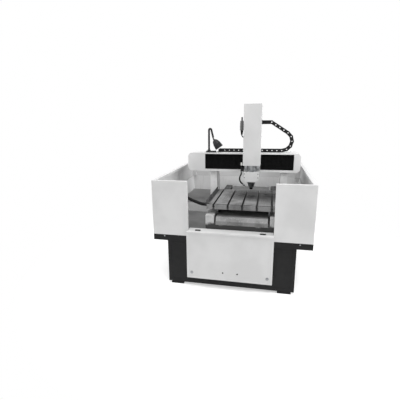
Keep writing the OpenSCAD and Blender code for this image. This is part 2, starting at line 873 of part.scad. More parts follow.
module x_ballscrew() {
    tail = 44;
    color("#a6a8aa") translate([x_bearing_1 + 26, x_screw_y, window_mid]) rotate([0, -90, 0]) {
        l = x_bearing_1 + 26 - x_bearing_0 + 4;
        screw_z(x_screw_d, l, screw_end, screw_end);
        coupling_z(34, l, tail);
    }
}

module x_bearing_blocks() {
    back_gap = cast_y + 35 - x_screw_y;
    color("#3a3b3d") for (x = [x_bearing_0, x_bearing_1]) translate([x, x_screw_y, window_mid])
        rotate([90, 0, 90]) mirror([1, 0, 0]) rotate(90)
            housing_z(56, 20, bearing_l, x_screw_d * 0.6 + 2 * run_fit, back_gap);
}

module x_motor() {
    plate_x = x_bearing_0 - 50;
    color("#2b2c2e") {
        difference() {
            block([plate_x - 12, cast_y - 50, window_mid - 44], [plate_x, cast_y + 60, window_mid + 44]);
            rod_x(40, plate_x - 13, plate_x + 1, x_screw_y, window_mid);
        }
        for (s = [-1, 1]) block([plate_x - 1, cast_y + 2, window_mid + s * 40 - 4],
            [window_l, cast_y + 60, window_mid + s * 40 + 4]);
        translate([plate_x - 12, x_screw_y, window_mid]) rotate([0, -90, 0])
            servo_z(x_motor_w, x_motor_l, 36);
    }
}

// Pleated bellows between two places along X, closed at both ends.
module bellows(x0, x1) {
    folds = round((x1 - x0) / (2 * pleat));
    step = (x1 - x0) / folds;
    t = 2;
    top = window_h - 4;
    crest = [for (i = [0:folds]) [x0 + i * step, bellows_d * 0.5]];
    valley = [for (i = [0:folds - 1]) [x0 + (i + 0.5) * step, 0]];
    path = [for (i = [0:folds - 1]) each [crest[i], valley[i]], crest[folds]];
    last = len(path) - 1;
    color("#0d0d0e") translate([0, bellows_y, window_mid - top / 2]) linear_extrude(top)
        polygon(concat(path, [for (i = [last:-1:0]) path[i] + [0, t + 1]]));
}

module bellows_left() {
    bellows(window_l + 2, head_x - saddle_w / 2 - 0.5);
}

module bellows_right() {
    bellows(head_x + saddle_w / 2 + 0.5, window_r - 2);
}

// ---------- Work lamp ----------

lamp_joint = [lamp_x + 44, lamp_y, beam_top + neck_h - 96];
lamp_tilt = -35;
neck_top = beam_top + neck_h;
neck_z0 = beam_top + 40;

module lamp_base() {
    h = 26;
    foot_h = h * 0.6;
    boss_d = neck_d + 14;
    color("#1b1b1c") {
        translate([lamp_x + 22, lamp_y, beam_top]) linear_extrude(foot_h) round_rect(100, 50, 12);
        rod_z(boss_d, beam_top + foot_h - 1, beam_top + h, lamp_x, lamp_y);
        rod_z(neck_d, beam_top + h - 1, neck_z0, lamp_x, lamp_y);
    }
}

module lamp_neck() {
    bend = 12;
    middle = [lamp_x + bend, lamp_y, neck_top - bend];
    hairpin = [for (a = [180:-24:12]) middle + bend * [cos(a), 0, sin(a)]];
    way = concat([[lamp_x, lamp_y, neck_z0]], hairpin,
        [lamp_joint + [-4, 0, 22], lamp_joint + [0, 0, 8]]);
    color("#1b1b1c") tube(way, neck_d, 12);
}

module lamp_shade() {
    wall = 2;
    r = shade_d / 2;
    crown_r = r * 0.78;
    crown_h = 42;
    skirt_z = -62;
    crown = [for (a = [30:15:90]) [crown_r * cos(a), crown_h * (sin(a) - 1) - 12]];
    color("#2c2c2d") translate(lamp_joint) rotate([0, lamp_tilt, 0]) {
        rotate_extrude() difference() {
            polygon(concat([[0, -shade_l], [r, -shade_l], [r * 0.9, skirt_z]], crown));
            polygon([[-1, -shade_l - 1], [r - wall, -shade_l - 1], [r * 0.9 - wall, skirt_z],
                [r * 0.9 - 8, -46], [16, -40], [-1, -40]]);
        }
        translate([0, 0, -14]) cylinder(d = 15, h = 12);
        rotate([90, 0, 0]) cylinder(d = 14, h = 12, center = true);
    }
}

module lamp_bulb() {
    color("#d9d9d6") translate(lamp_joint) rotate([0, lamp_tilt, 0]) rotate_extrude()
        polygon([[0, -40], [13, -40], [13, -56], [24, -80], [25, -92], [18, -100], [0, -104]]);
}

// ---------- Cable chain ----------

chain_end = [chain_cx + chain_r * sin(chain_slope), chain_y, chain_z + chain_r * (1 + cos(chain_slope))];

// One link along +X between two hinge points: side plates joined by crossbars. Odd links' plates stand
// inside their neighbours'.
module chain_link(odd) {
    w = link_w / 2 - (odd ? plate_out + 0.3 : 0);
    hub_d = link_h - 1;
    for (s = [-1, 1]) difference() {
        translate([0, s * (w - plate_out / 2) + plate_out / 2, 0]) rotate([90, 0, 0])
            linear_extrude(plate_out) {
                translate([-6, -link_h / 2 + 3]) square([link_pitch + 12, link_h - 6]);
                for (x = [0, link_pitch]) translate([x, 0]) circle(d = hub_d);
            }
        for (x = [0, link_pitch]) rod_y(hinge_d, -link_w, link_w, x, 0);
    }
    for (z = [-link_h / 2 + 3.5, link_h / 2 - 6.5])
        translate([link_pitch / 2 - 7, -w + 1, z]) cube([14, 2 * w - 2, 3]);
}

module cable_chain() {
    shoe_l = 30;
    shoe_t = 3;
    shoe_z = beam_top + 0.3;
    w = link_w / 2 - 2 * plate_out;
    color("#161617") {
        // The shoe that screws the fixed end to the beam.
        block([chain_l - shoe_l, chain_y - w, shoe_z], [chain_l + 6, chain_y + w, shoe_z + shoe_t]);
        for (s = [-1, 1]) block([chain_l - 8, chain_y + s * w - (s > 0 ? shoe_t : 0), shoe_z],
            [chain_l + 8, chain_y + s * w + (s > 0 ? 0 : shoe_t), chain_z + 8]);
        for (i = [0:chain_run - 1])
            translate([chain_l + i * link_pitch, chain_y, chain_z]) chain_link(i % 2 == 1);
        for (i = [0:arc_links - 1]) {
            a = -90 + chain_turn * i;
            p = [chain_cx + chain_r * cos(a), chain_y, chain_z + chain_r + chain_r * sin(a)];
            translate(p) rotate([0, -(a + 90 + chain_turn / 2), 0]) chain_link((chain_run + i) % 2 == 1);
        }
        for (i = [0:top_links - 1])
            translate(chain_end + i * link_pitch * [-cos(chain_slope), 0, sin(chain_slope)])
                rotate([0, -180 + chain_slope, 0]) chain_link((chain_run + arc_links + i) % 2 == 1);
    }
}

// ---------- Saddle and head ----------

module x_saddle() {
    color("#bdbdbb") difference() {
        union() {
            block([head_x - saddle_w / 2, plate_y - 1, window_mid - saddle_h / 2],
                [head_x + saddle_w / 2, cast_y - x_block_h, window_mid + saddle_h / 2]);
            block([head_x - plate_w / 2, rail_face, plate_z], [head_x + plate_w / 2, plate_y, plate_top]);
        }
        block([head_x - 40, plate_y + 14, window_mid - 34], [head_x + 40, cast_y, window_mid - 22]);
        block([head_x - 40, plate_y + 14, window_mid + 22], [head_x + 40, cast_y, window_mid + 34]);
    }
}

module x_carriages() {
    color("#6d7073") for (s = [-1, 1], x = [head_x - x_block_l - 3, head_x + 3])
        along_x(x, x + x_block_l) translate([cast_y, window_mid + s * x_rail_pitch / 2]) rotate(90)
            carriage_section(x_block_w, x_block_h, x_rail_w, x_rail_h);
}

module x_nut() {
    half = 20;
    color("#77797b") difference() {
        union() {
            block([head_x - 26, cast_y - x_block_h, window_mid - half],
                [head_x + 26, x_screw_y + 2, window_mid + half]);
            rod_x(2 * half, head_x - 32, head_x + 32, x_screw_y, window_mid);
        }
        rod_x(x_screw_d + 2 * run_fit, head_x - 40, head_x + 40, x_screw_y, window_mid);
    }
}

module head_cover() {
    color("#d8d8d6") translate([head_x, 0, 0]) difference() {
        block([-head_w / 2, cover_y0, head_bottom], [head_w / 2, plate_y, head_top]);
        block([-head_w / 2 + sheet_t, cover_y0 + sheet_t, head_bottom - 1],
            [head_w / 2 - sheet_t, plate_y - sheet_t, head_top - sheet_t]);
        block([-head_w / 2 + sheet_t, plate_y - sheet_t - 1, head_bottom - 1],
            [head_w / 2 - sheet_t, plate_y + 1, plate_top]);
        for (i = [0:5]) translate([0, plate_y, plate_top + 40 + i * 14]) rotate([90, 0, 0])
            linear_extrude(20, center = true) square([70, 5], center = true);
        block([-head_w / 2 - 1, manifold_y - arm_slot / 2, head_bottom - 1],
            [-head_w / 2 + sheet_t + 1, manifold_y + arm_slot / 2, arm_slot_top]);
    }
}

module z_rails() {
    color("#8f9192") for (s = [-1, 1])
        translate([head_x + s * z_rail_pitch / 2, rail_face, plate_z + 3]) mirror([0, 1, 0])
            linear_extrude(plate_top - plate_z - 90) rail_section(z_rail_w, z_rail_h);
}

z_bearing_0 = plate_z + 3;
z_bearing_1 = 1292;
z_foot = rail_face - z_screw_y;

module z_bearing_blocks() {
    color("#3a3b3d") {
        translate([head_x, z_screw_y, z_bearing_0]) rotate(180)
            housing_z(30, 10, 20, z_screw_d * 0.6 + 2 * run_fit, z_foot);
        translate([head_x, z_screw_y, z_bearing_1]) rotate(180)
            housing_z(62, 24, bearing_l, z_screw_d * 0.6 + 2 * run_fit, z_foot);
    }
}

module z_ballscrew() {
    tail = 40;
    low_end = 21;
    l = z_bearing_1 + bearing_l + 2 - z_bearing_0;
    color("#a6a8aa") translate([head_x, z_screw_y, z_bearing_0 + 2]) {
        screw_z(z_screw_d, l, low_end, screw_end);
        coupling_z(30, l, tail);
    }
}

module z_motor() {
    z0 = plate_top - 12;
    depth = 52;
    color("#2b2c2e") translate([head_x, 0, 0]) {
        difference() {
            block([-36, rail_face - depth, z0], [36, rail_face, plate_top]);
            rod_z(32, z0 - 1, plate_top + 1, 0, z_screw_y);
        }
        translate([0, z_screw_y, plate_top]) servo_z(z_motor_w, z_motor_l, 30);
    }
}

module chain_bracket() {
    t = 4;
    half_h = 18;
    arm_y0 = plate_y - 50;
    fork = link_w / 2 + clear;
    x0 = head_x + head_w / 2;
    hinge = chain_end + top_links * link_pitch * [-cos(chain_slope), 0, sin(chain_slope)];
    throat_x = hinge[0] - link_h / 2 - 4;
    color("#19191a") {
        block([x0, arm_y0, hinge[2] - half_h], [x0 + t, chain_y + fork + t, hinge[2] + half_h + 2]);
        block([x0, chain_y - fork - t, hinge[2] - half_h],
            [throat_x, chain_y + fork + t, hinge[2] + half_h]);
        // Two cheeks that hold the last link's hinge.
        for (y = [chain_y - fork - t, chain_y + fork]) difference() {
            union() {
                block([throat_x - 1, y, hinge[2] - half_h], [hinge[0], y + t, hinge[2] + half_h]);
                rod_y(2 * half_h, y, y + t, hinge[0], hinge[2]);
            }
            rod_y(hinge_d, y - 1, y + t + 1, hinge[0], hinge[2]);
        }
    }
}

plug_x = head_x - head_w / 2 - 26;
plug_y = plate_y - 46;
plug_z = 1296;

module head_connector() {
    ribs = 5;
    pitch = 14;
    top = 4 + ribs * pitch;
    ribbed = [for (i = [0:ribs - 1]) each [[19, 4 + i * pitch], [19, 12 + i * pitch],
        [16, 13 + i * pitch], [16, 17 + i * pitch]]];
    color("#8f8f8d") {
        translate([plug_x, plug_y, plug_z]) rotate_extrude()
            polygon(concat([[0, 0], [15, 0]], ribbed,
                [[17, top], [17, top + 12], [8, top + 16], [8, top + 48], [0, top + 48]]));
        block([plug_x, plug_y - 14, plug_z + top], [head_x - head_w / 2, plug_y + 14, plug_z + top + 12]);
    }
}

module connector_lead() {
    lead_d = 10;
    down = [[0, 0.5], [0, 12], [0, 24], [0, 36], [1, 46], [5, 55], [12, 62], [20, 65.2], [25.4, 65.5]];
    color("#161617")
        tube(spline([for (p = down) [plug_x + p[0], plug_y, plug_z - p[1]]], 2), lead_d, 10);
}

module z_slide() {
    w = clamp_w - 6;
    color("#8d8f91") difference() {
        block([head_x - w / 2, slide_y, slide_z], [head_x + w / 2, slide_back, slide_top]);
        block([head_x - 20, slide_y - 1, 985], [head_x + 20, slide_back + 1, 1055]);
    }
}

module z_carriages() {
    color("#6d7073") for (s = [-1, 1], z = [slide_z + 40, slide_top - 70])
        translate([head_x + s * z_rail_pitch / 2, rail_face, z]) mirror([0, 1, 0]) linear_extrude(60)
            carriage_section(z_block_w, z_block_h, z_rail_w, z_rail_h);
}

module z_nut() {
    color("#77797b") difference() {
        union() {
            rod_z(26, 992, 1048, head_x, z_screw_y);
            block([head_x - 28, slide_back, 1004], [head_x + 28, rail_face - 3, 1036]);
        }
        rod_z(z_screw_d + 2 * run_fit, 991, 1049, head_x, z_screw_y);
    }
}

module spindle_clamps() {
    bore = spindle_d + 0.2;
    cut = 28;
    w = clamp_w / 2;
    color("#d9d9d7") difference() {
        union() {
            along_y(clamp_front, slide_y) translate([head_x, clamp_z])
                polygon([[-w + cut, 0], [w - cut, 0], [w, cut], [w, clamp_h], [-w, clamp_h], [-w, cut]]);
            along_y(clamp_front + 4, slide_y) translate([head_x - w + 10, 1066])
                square([2 * w - 20, 40]);
        }
        rod_z(bore, clamp_z - 1, 1110, head_x, spindle_y);
        for (z = [clamp_z + cut + 14, clamp_z + clamp_h - 18], s = [-1, 1])
            rod_y(9, clamp_front - 1, clamp_front + 8, head_x + s * (w - 10), z);
    }
}

module spindle_body() {
    r = spindle_d / 2;
    top = 380;
    groove = 4;
    nose = [[0, 0], [22, 0], [24, 4], [r - 6, nose_h - 2], [r, nose_h]];
    // Turned grooves, each from its lower to its upper edge.
    grooves = [for (z = [[160, 166], [188, 195]])
        each [[r, z[0]], [r - groove, z[0] + 1], [r - groove, z[1] - 1], [r, z[1]]]];
    color("#7d7f80") translate([head_x, spindle_y, clamp_z - nose_h]) rotate_extrude() difference() {
        polygon(concat(nose, grooves, [[r, top - 8], [r - 8, top], [0, top]]));
        translate([-1, -1]) square([shaft_d / 2 + 0.3 + 1, 61]);
    }
}

module spindle_shaft() {
    color("#9b9d9f") translate([head_x, spindle_y, clamp_z - nose_h - 4]) rotate_extrude()
        polygon([[0, 0], [11, 0], [11, 2], [shaft_d / 2, 5], [shaft_d / 2, 60], [0, 60]]);
}

module collet_nut() {
    color("#1c1c1d") translate([head_x, spindle_y, clamp_z - nose_h - 4]) mirror([0, 0, 1])
        difference() {
            rotate_extrude() polygon([[4, 0], [17, 0], [17, 12], [12, 18], [4, 18]]);
            for (a = [0:60:300]) rotate(a) translate([15.6, -10, 1]) cube([4, 20, 9]);
        }
}

module engraving_bit() {
    z0 = clamp_z - nose_h - 4;
    color("#77797a") translate([head_x, spindle_y, z0]) mirror([0, 0, 1]) rotate_extrude()
        polygon([[0, 0.5], [3, 0.5], [3, 24], [0.4, 35], [0, 35]]);
}

manifold_x = head_x - clamp_w / 2;
manifold_y = spindle_y - 6;
lever_z = 972;

module coolant_manifold() {
    color("#232324") {
        block([manifold_x - 5, manifold_y - 16, 862], [manifold_x, manifold_y + 16, 926]);
        block([manifold_x - 30, manifold_y - 12, 918], [manifold_x, manifold_y + 12, arm_top]);
        rod_z(12, arm_top - 1, lever_z - 2, manifold_x - 22, manifold_y);
        rod_z(9, lever_z - 3, lever_z + 26, manifold_x - 22, manifold_y);
    }
}

module coolant_valve_lever() {
    color("#e0e0de") translate([manifold_x - 22, manifold_y, lever_z]) difference() {
        union() {
            cylinder(d = 20, h = 16);
            translate([0, 0, 16]) cylinder(d = 14, h = 12);
            translate([-6, -26, 3]) cube([12, 26, 6]);
            translate([0, -26, 3]) cylinder(d = 12, h = 6);
        }
        translate([0, 0, -1]) cylinder(d = 9 + 4 * run_fit, h = 40);
    }
}

module coolant_hose() {
    hose_d = 14;
    start = [manifold_x - 22, manifold_y, 917.5];
    way = [[0, 0, 0], [0, 0, -14], [-2, 0, -28.5], [-7, 0, -41.5], [-12.5, 0, -54.5], [-15.5, 0, -68.5],
        [-15.5, 0.5, -82.5], [-12, 1, -96], [-5, 2, -108.5], [4.5, 3, -119], [15.5, 3.5, -128],
        [27, 4, -136.5]];
    color("#161617") tube(spline([for (p = way) start + p], 2), hose_d, 10);
}

base_frame();
foot_plates();
enclosure_frame();
splash_tray();
side_wall_left();
side_wall_right();
back_wall();
front_panel();
rear_cover();
bed();
way_cover();
y_rails();
y_ballscrew();
y_bearing_blocks();
y_motor();
column_left();
column_right();
beam();
beam_cover();
end_cap_left();
end_cap_right();
x_rails();
x_ballscrew();
x_bearing_blocks();
x_motor();
bellows_left();
bellows_right();
lamp_base();
lamp_neck();
lamp_shade();
lamp_bulb();
cable_chain();
x_saddle();
x_carriages();
x_nut();
head_cover();
z_rails();
z_bearing_blocks();
z_ballscrew();
z_motor();
chain_bracket();
head_connector();
connector_lead();
z_slide();
z_carriages();
z_nut();
spindle_clamps();
spindle_body();
spindle_shaft();
collet_nut();
engraving_bit();
coolant_manifold();
coolant_valve_lever();
coolant_hose();
t_slot_table();
table_guards();
y_saddle();
y_carriages();
y_nut();
drain_hose();
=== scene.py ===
"""Looks of a fixed-gantry engraving machine: finishes, soft parts, fasteners, stage and camera.

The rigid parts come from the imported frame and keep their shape. Everything that this file adds is drawn in
millimetres in the same frame: +X to the operator's right, +Y away from the operator, +Z up from the floor.
"""

from __future__ import annotations

import json
import logging
import math
from dataclasses import dataclass, field
from enum import Enum
from typing import Any, Callable, Iterable, Sequence

import bmesh
import bpy
from mathutils import Matrix, Vector

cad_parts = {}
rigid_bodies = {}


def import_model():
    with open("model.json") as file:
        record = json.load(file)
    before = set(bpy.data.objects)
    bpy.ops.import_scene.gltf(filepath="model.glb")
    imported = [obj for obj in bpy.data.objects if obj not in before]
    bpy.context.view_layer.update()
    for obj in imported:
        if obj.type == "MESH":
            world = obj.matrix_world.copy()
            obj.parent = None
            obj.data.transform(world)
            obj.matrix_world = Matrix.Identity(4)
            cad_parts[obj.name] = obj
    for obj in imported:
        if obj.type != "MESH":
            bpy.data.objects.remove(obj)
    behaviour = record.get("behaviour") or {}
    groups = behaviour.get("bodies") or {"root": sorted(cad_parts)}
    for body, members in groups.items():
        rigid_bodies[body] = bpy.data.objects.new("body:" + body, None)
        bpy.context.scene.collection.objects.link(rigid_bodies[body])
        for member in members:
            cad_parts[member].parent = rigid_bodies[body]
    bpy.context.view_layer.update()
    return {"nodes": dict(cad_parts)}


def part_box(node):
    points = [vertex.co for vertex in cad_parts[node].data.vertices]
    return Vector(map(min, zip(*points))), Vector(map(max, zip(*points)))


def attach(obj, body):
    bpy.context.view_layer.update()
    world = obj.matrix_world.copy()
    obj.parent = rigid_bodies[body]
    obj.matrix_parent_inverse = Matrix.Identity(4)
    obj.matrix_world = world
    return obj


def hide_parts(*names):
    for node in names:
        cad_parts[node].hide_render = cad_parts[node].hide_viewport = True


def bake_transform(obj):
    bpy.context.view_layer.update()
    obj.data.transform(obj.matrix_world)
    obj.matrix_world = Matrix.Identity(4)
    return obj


LOG = logging.getLogger("engraving_machine")
MM = 0.001
SCREW_STEPS = 24
HEXAGON = 6
Point = tuple[float, float, float]
Socket = bpy.types.NodeSocket


class Body(str, Enum):
    """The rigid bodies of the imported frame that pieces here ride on."""

    FRAME = "machine_frame"
    TABLE = "work_table"
    SADDLE = "cross_saddle"
    SLIDE = "head_slide"


class Axis(Enum):
    """A direction of the frame, as a unit vector."""

    X = (1.0, 0.0, 0.0)
    Y = (0.0, 1.0, 0.0)
    Z = (0.0, 0.0, 1.0)

    def turn(self, sign: int = 1) -> Matrix:
        """The rotation that carries local +Z to this direction, or against it where sign is -1."""
        return (Vector(self.value) * sign).to_track_quat("Z", "Y").to_matrix().to_4x4()


# ---------- Colour and nodes ----------


def srgb(code: str) -> tuple[float, float, float, float]:
    """Turns an sRGB colour into the linear one that shaders read.

    Args:
        code: The colour as #RRGGBB.

    Returns:
        Red, green, blue and an alpha of 1, linear.
    """
    parts = [int(code[i : i + 2], 16) / 255 for i in (1, 3, 5)]
    linear = [c / 12.92 if c <= 0.04045 else ((c + 0.055) / 1.055) ** 2.4 for c in parts]
    return (*linear, 1.0)


def add_node(
    tree: bpy.types.NodeTree, kind: str, inputs: dict[Any, Any] | None = None, **settings: Any
) -> bpy.types.Node:
    """Adds one node with its settings, its plain inputs and its links.

    Args:
        tree: The node tree that gets the node.
        kind: The node's type, such as ShaderNodeBump.
        inputs: Socket name or number to a value, or to the output socket that feeds it.
        settings: The node's own properties.

    Returns:
        The new node.
    """
    node = tree.nodes.new(kind)
    for name, value in settings.items():
        setattr(node, name, value)
    for key, value in (inputs or {}).items():
        if isinstance(value, Socket):
            tree.links.new(value, node.inputs[key])
        else:
            node.inputs[key].default_value = value
    return node


def seen_as_backdrop(tree: bpy.types.NodeTree) -> Socket:
    """Is 1 for rays from the camera, a reflection or clear material, which see the backdrop, else 0."""
    path = add_node(tree, "ShaderNodeLightPath").outputs
    either = {0: path["Is Camera Ray"], 1: path["Is Glossy Ray"]}
    seen = add_node(tree, "ShaderNodeMath", either, operation="MAXIMUM")
    clear = {0: seen.outputs[0], 1: path["Is Transmission Ray"]}
    return add_node(tree, "ShaderNodeMath", clear, operation="MAXIMUM").outputs[0]


class Sheet:
    """A material's node tree with the few patterns that the finishes below are made of."""

    def __init__(self, name: str) -> None:
        """Makes an empty Principled material of that name."""
        self.material = bpy.data.materials.new(name)
        self.material.use_nodes = True
        self.tree = self.material.node_tree
        self.tree.nodes.clear()
        self.surface = add_node(self.tree, "ShaderNodeBsdfPrincipled")
        add_node(self.tree, "ShaderNodeOutputMaterial", {"Surface": self.surface.outputs[0]})
        self.place = add_node(self.tree, "ShaderNodeTexCoord").outputs["Object"]

    def set(self, **values: Any) -> "Sheet":
        """Sets or links sockets of the Principled shader; an underscore in a name stands for a space."""
        for name, value in values.items():
            socket = self.surface.inputs[name.replace("_", " ")]
            if isinstance(value, Socket):
                self.tree.links.new(value, socket)
            else:
                socket.default_value = value
        return self

    def stretched(self, x: float = 1.0, y: float = 1.0, z: float = 1.0) -> Socket:
        """The object's coordinates in metres, each axis multiplied by its factor."""
        inputs = {0: self.place, 1: (x, y, z)}
        return add_node(self.tree, "ShaderNodeVectorMath", inputs, operation="MULTIPLY").outputs[0]

    def noise(
        self, size_mm: float, detail: float = 2.0, rough: float = 0.5, where: Socket | None = None
    ) -> Socket:
        """Noise with features of about size_mm.

        Args:
            size_mm: Real size of a feature, in millimetres.
            detail: Octaves of finer noise.
            rough: Weight of the finer octaves.
            where: Coordinates in metres, the object's own if left out.

        Returns:
            The noise, about 0.5 in the mean.
        """
        scale = 1 / (size_mm * MM)
        inputs = {"Vector": where or self.place, "Scale": scale, "Detail": detail, "Roughness": rough}
        return add_node(self.tree, "ShaderNodeTexNoise", inputs).outputs["Fac"]

    def ramp(
        self, value: Socket, low: float, high: float, to_low: float = 0.0, to_high: float = 1.0
    ) -> Socket:
        """Value from low to high, eased and clamped onto to_low to to_high."""
        inputs = {"Value": value, "From Min": low, "From Max": high, "To Min": to_low, "To Max": to_high}
        return add_node(self.tree, "ShaderNodeMapRange", inputs, interpolation_type="SMOOTHSTEP").outputs[0]

    def maths(self, operation: str, a: Socket | float, b: Socket | float = 0.0) -> Socket:
        """One step of arithmetic between two values."""
        return add_node(self.tree, "ShaderNodeMath", {0: a, 1: b}, operation=operation).outputs[0]

    def axis(self, which: str) -> Socket:
        """One of the object's coordinates, X, Y or Z, in metres."""
        return add_node(self.tree, "ShaderNodeSeparateXYZ", {0: self.place}).outputs[which]

    def level(self) -> Socket:
        """Is 1 on floors and other level faces that look up, and 0 on walls."""
        normal = add_node(self.tree, "ShaderNodeNewGeometry").outputs["True Normal"]
        return self.ramp(add_node(self.tree, "ShaderNodeSeparateXYZ", {0: normal}).outputs["Z"], 0.5, 0.9)

    def mix(self, share: Socket, first: Socket | Sequence[float], second: Socket | Sequence[float]) -> Socket:
        """A colour that goes from first to second as share goes from 0 to 1."""
        # For colours the node's inputs are number 0, the share, and numbers 6 and 7. Its output is number 2.
        inputs = {0: share, 6: first, 7: second}
        return add_node(self.tree, "ShaderNodeMix", inputs, data_type="RGBA").outputs[2]

    def far(self, centre: Point, radius_mm: float, squeeze: Point = (1.0, 1.0, 1.0)) -> Socket:
        """Falls from 1 at centre to 0 at radius_mm from it, over an ellipsoid squeezed along the axes."""
        scale = Vector(squeeze)
        middle = Vector([c * MM * s for c, s in zip(centre, scale)])
        ends = {0: self.stretched(*scale), 1: tuple(middle)}
        gap = add_node(self.tree, "ShaderNodeVectorMath", ends, operation="DISTANCE").outputs["Value"]
        return self.ramp(gap, 0.0, radius_mm * MM, 1.0, 0.0)

    def bump(self, height: Socket, depth_mm: float, under: Socket | None = None) -> Socket:
        """A normal from a height from 0 to 1 that stands for depth_mm, laid over another normal."""
        inputs: dict[Any, Any] = {"Height": height, "Distance": depth_mm * MM}
        if under is not None:
            inputs["Normal"] = under
        return add_node(self.tree, "ShaderNodeBump", inputs).outputs[0]


# ---------- Finishes ----------


@dataclass(frozen=True)
class Finish:
    """What every finish has: a name that says the material and how its surface was made."""

    name: str

    def sheet(self) -> Sheet:
        """Builds the nodes."""
        raise NotImplementedError


@dataclass(frozen=True)
class PowderCoat(Finish):
    """Powder coat baked on sheet steel: an even, slightly pebbled skin, dusty where hands and rags pass."""

    colour: str = "#d2d2d2"
    faded: str = "#c9c9c9"
    grain_mm: float = 2.2
    grain_depth_mm: float = 0.05
    roughness: float = 0.46
    scuff: str = "#b9b9b9"
    scuffs: float = 0.12

    def sheet(self) -> Sheet:
        """Clouds of fading, sparse scuffs, an orange-peel bump and gloss that wanders a little."""
        s = Sheet(self.name)
        cloud = s.ramp(s.noise(260, 3), 0.36, 0.66)
        base = s.mix(cloud, srgb(self.colour), srgb(self.faded))
        rub = s.ramp(s.noise(34, 6, 0.7), 0.62, 0.78, 0.0, self.scuffs)
        peel = s.bump(s.noise(self.grain_mm, 1), self.grain_depth_mm)
        # Rolled sheet is never dead flat: a long, shallow wave breaks its reflections.
        wave = s.bump(s.noise(190, 1), 0.35, peel)
        gloss = s.ramp(s.noise(70, 3), 0.3, 0.7, self.roughness - 0.05, self.roughness + 0.07)
        return s.set(Base_Color=s.mix(rub, base, srgb(self.scuff)), Roughness=gloss, Normal=wave, IOR=1.5)


@dataclass(frozen=True)
class WetTrayPaint(Finish):
    """Powder coat in the splash tray, washed by coolant: a film on the floors and runs down the walls."""

    # Written a little lighter than the panels' white, as painted light that makes up for the shade inside the
    # tray.
    colour: str = "#dcdcdc"
    stain: str = "#454545"
    film: str = "#606060"
    run: str = "#b8b8b8"
    grit: str = "#555555"

    def sheet(self) -> Sheet:
        """Runs that hang down the walls, and a film with blots and grit on the floors."""
        s = Sheet(self.name)
        floor = s.level()
        runs = s.ramp(s.noise(9, 4, 0.6, s.stretched(1, 1, 0.07)), 0.5, 0.74, 0.0, 0.35)
        blots = s.ramp(s.noise(260, 5, 0.55), 0.44, 0.66, 0.0, 0.8)
        walls = s.mix(runs, srgb(self.colour), srgb(self.run))
        filmed = s.mix(s.maths("MULTIPLY", floor, 0.88), walls, srgb(self.film))
        worn = s.mix(s.maths("MULTIPLY", blots, floor), filmed, srgb(self.stain))
        chips = s.ramp(s.noise(2.6, 2), 0.70, 0.74, 0.0, 0.4)
        gritty = s.mix(s.maths("MULTIPLY", chips, floor), worn, srgb(self.grit))
        gloss = s.ramp(blots, 0.0, 0.8, 0.46, 0.3)
        return s.set(Base_Color=gritty, Roughness=gloss, Normal=s.bump(s.noise(2.0, 2), 0.06), IOR=1.45)


@dataclass(frozen=True)
class CastEnamel(Finish):
    """Enamel brushed over grey iron castings: thick and glossy, with the mould's sand texture under it."""

    colour: str = "#bcbcbc"
    grime: str = "#909090"
    roughness: float = 0.4

    def enamel(self, s: Sheet) -> Socket:
        """Sets the gloss and the sandy bump of the enamel.

        Args:
            s: The sheet that gets them.

        Returns:
            Its colour, with oily grime in broad patches.
        """
        patch = s.ramp(s.noise(85, 5, 0.6), 0.5, 0.72, 0.0, 0.7)
        sand = s.bump(s.noise(3.4, 3, 0.6), 0.14)
        fill = s.bump(s.noise(26, 2), 0.5, sand)
        gloss = s.ramp(s.noise(40, 3), 0.35, 0.65, self.roughness - 0.08, self.roughness + 0.12)
        s.set(Roughness=gloss, Normal=fill, IOR=1.52)
        return s.mix(patch, srgb(self.colour), srgb(self.grime))

    def sheet(self) -> Sheet:
        """The enamel alone."""
        s = Sheet(self.name)
        return s.set(Base_Color=self.enamel(s))


@dataclass(frozen=True)
class DarkenedBedCasting(CastEnamel):
    """The same enamel on the bed, darkened at its foot as painted shade, and darker behind the table."""

    darkening_colour: str = "#242424"

    def sheet(self) -> Sheet:
        """Lays a dark colour over the enamel at the foot, as painted shade, and behind the table, with a
        ragged edge.
        """
        s = Sheet(self.name)
        edge = s.maths("MULTIPLY", s.noise(60, 5, 0.6), 0.07)
        # Painted shade: the foot of the bed, below the way cover, is darkened in its colour. The part behind
        # the table is darker too.
        foot = s.ramp(s.maths("ADD", s.axis("Z"), edge), 0.57, 0.6, 1.0, 0.0)
        back = s.ramp(s.maths("ADD", s.axis("Y"), edge), 0.06, 0.16)
        foot_shade_and_back = s.maths("MAXIMUM", foot, back)
        return s.set(Base_Color=s.mix(foot_shade_and_back, self.enamel(s), srgb(self.darkening_colour)))


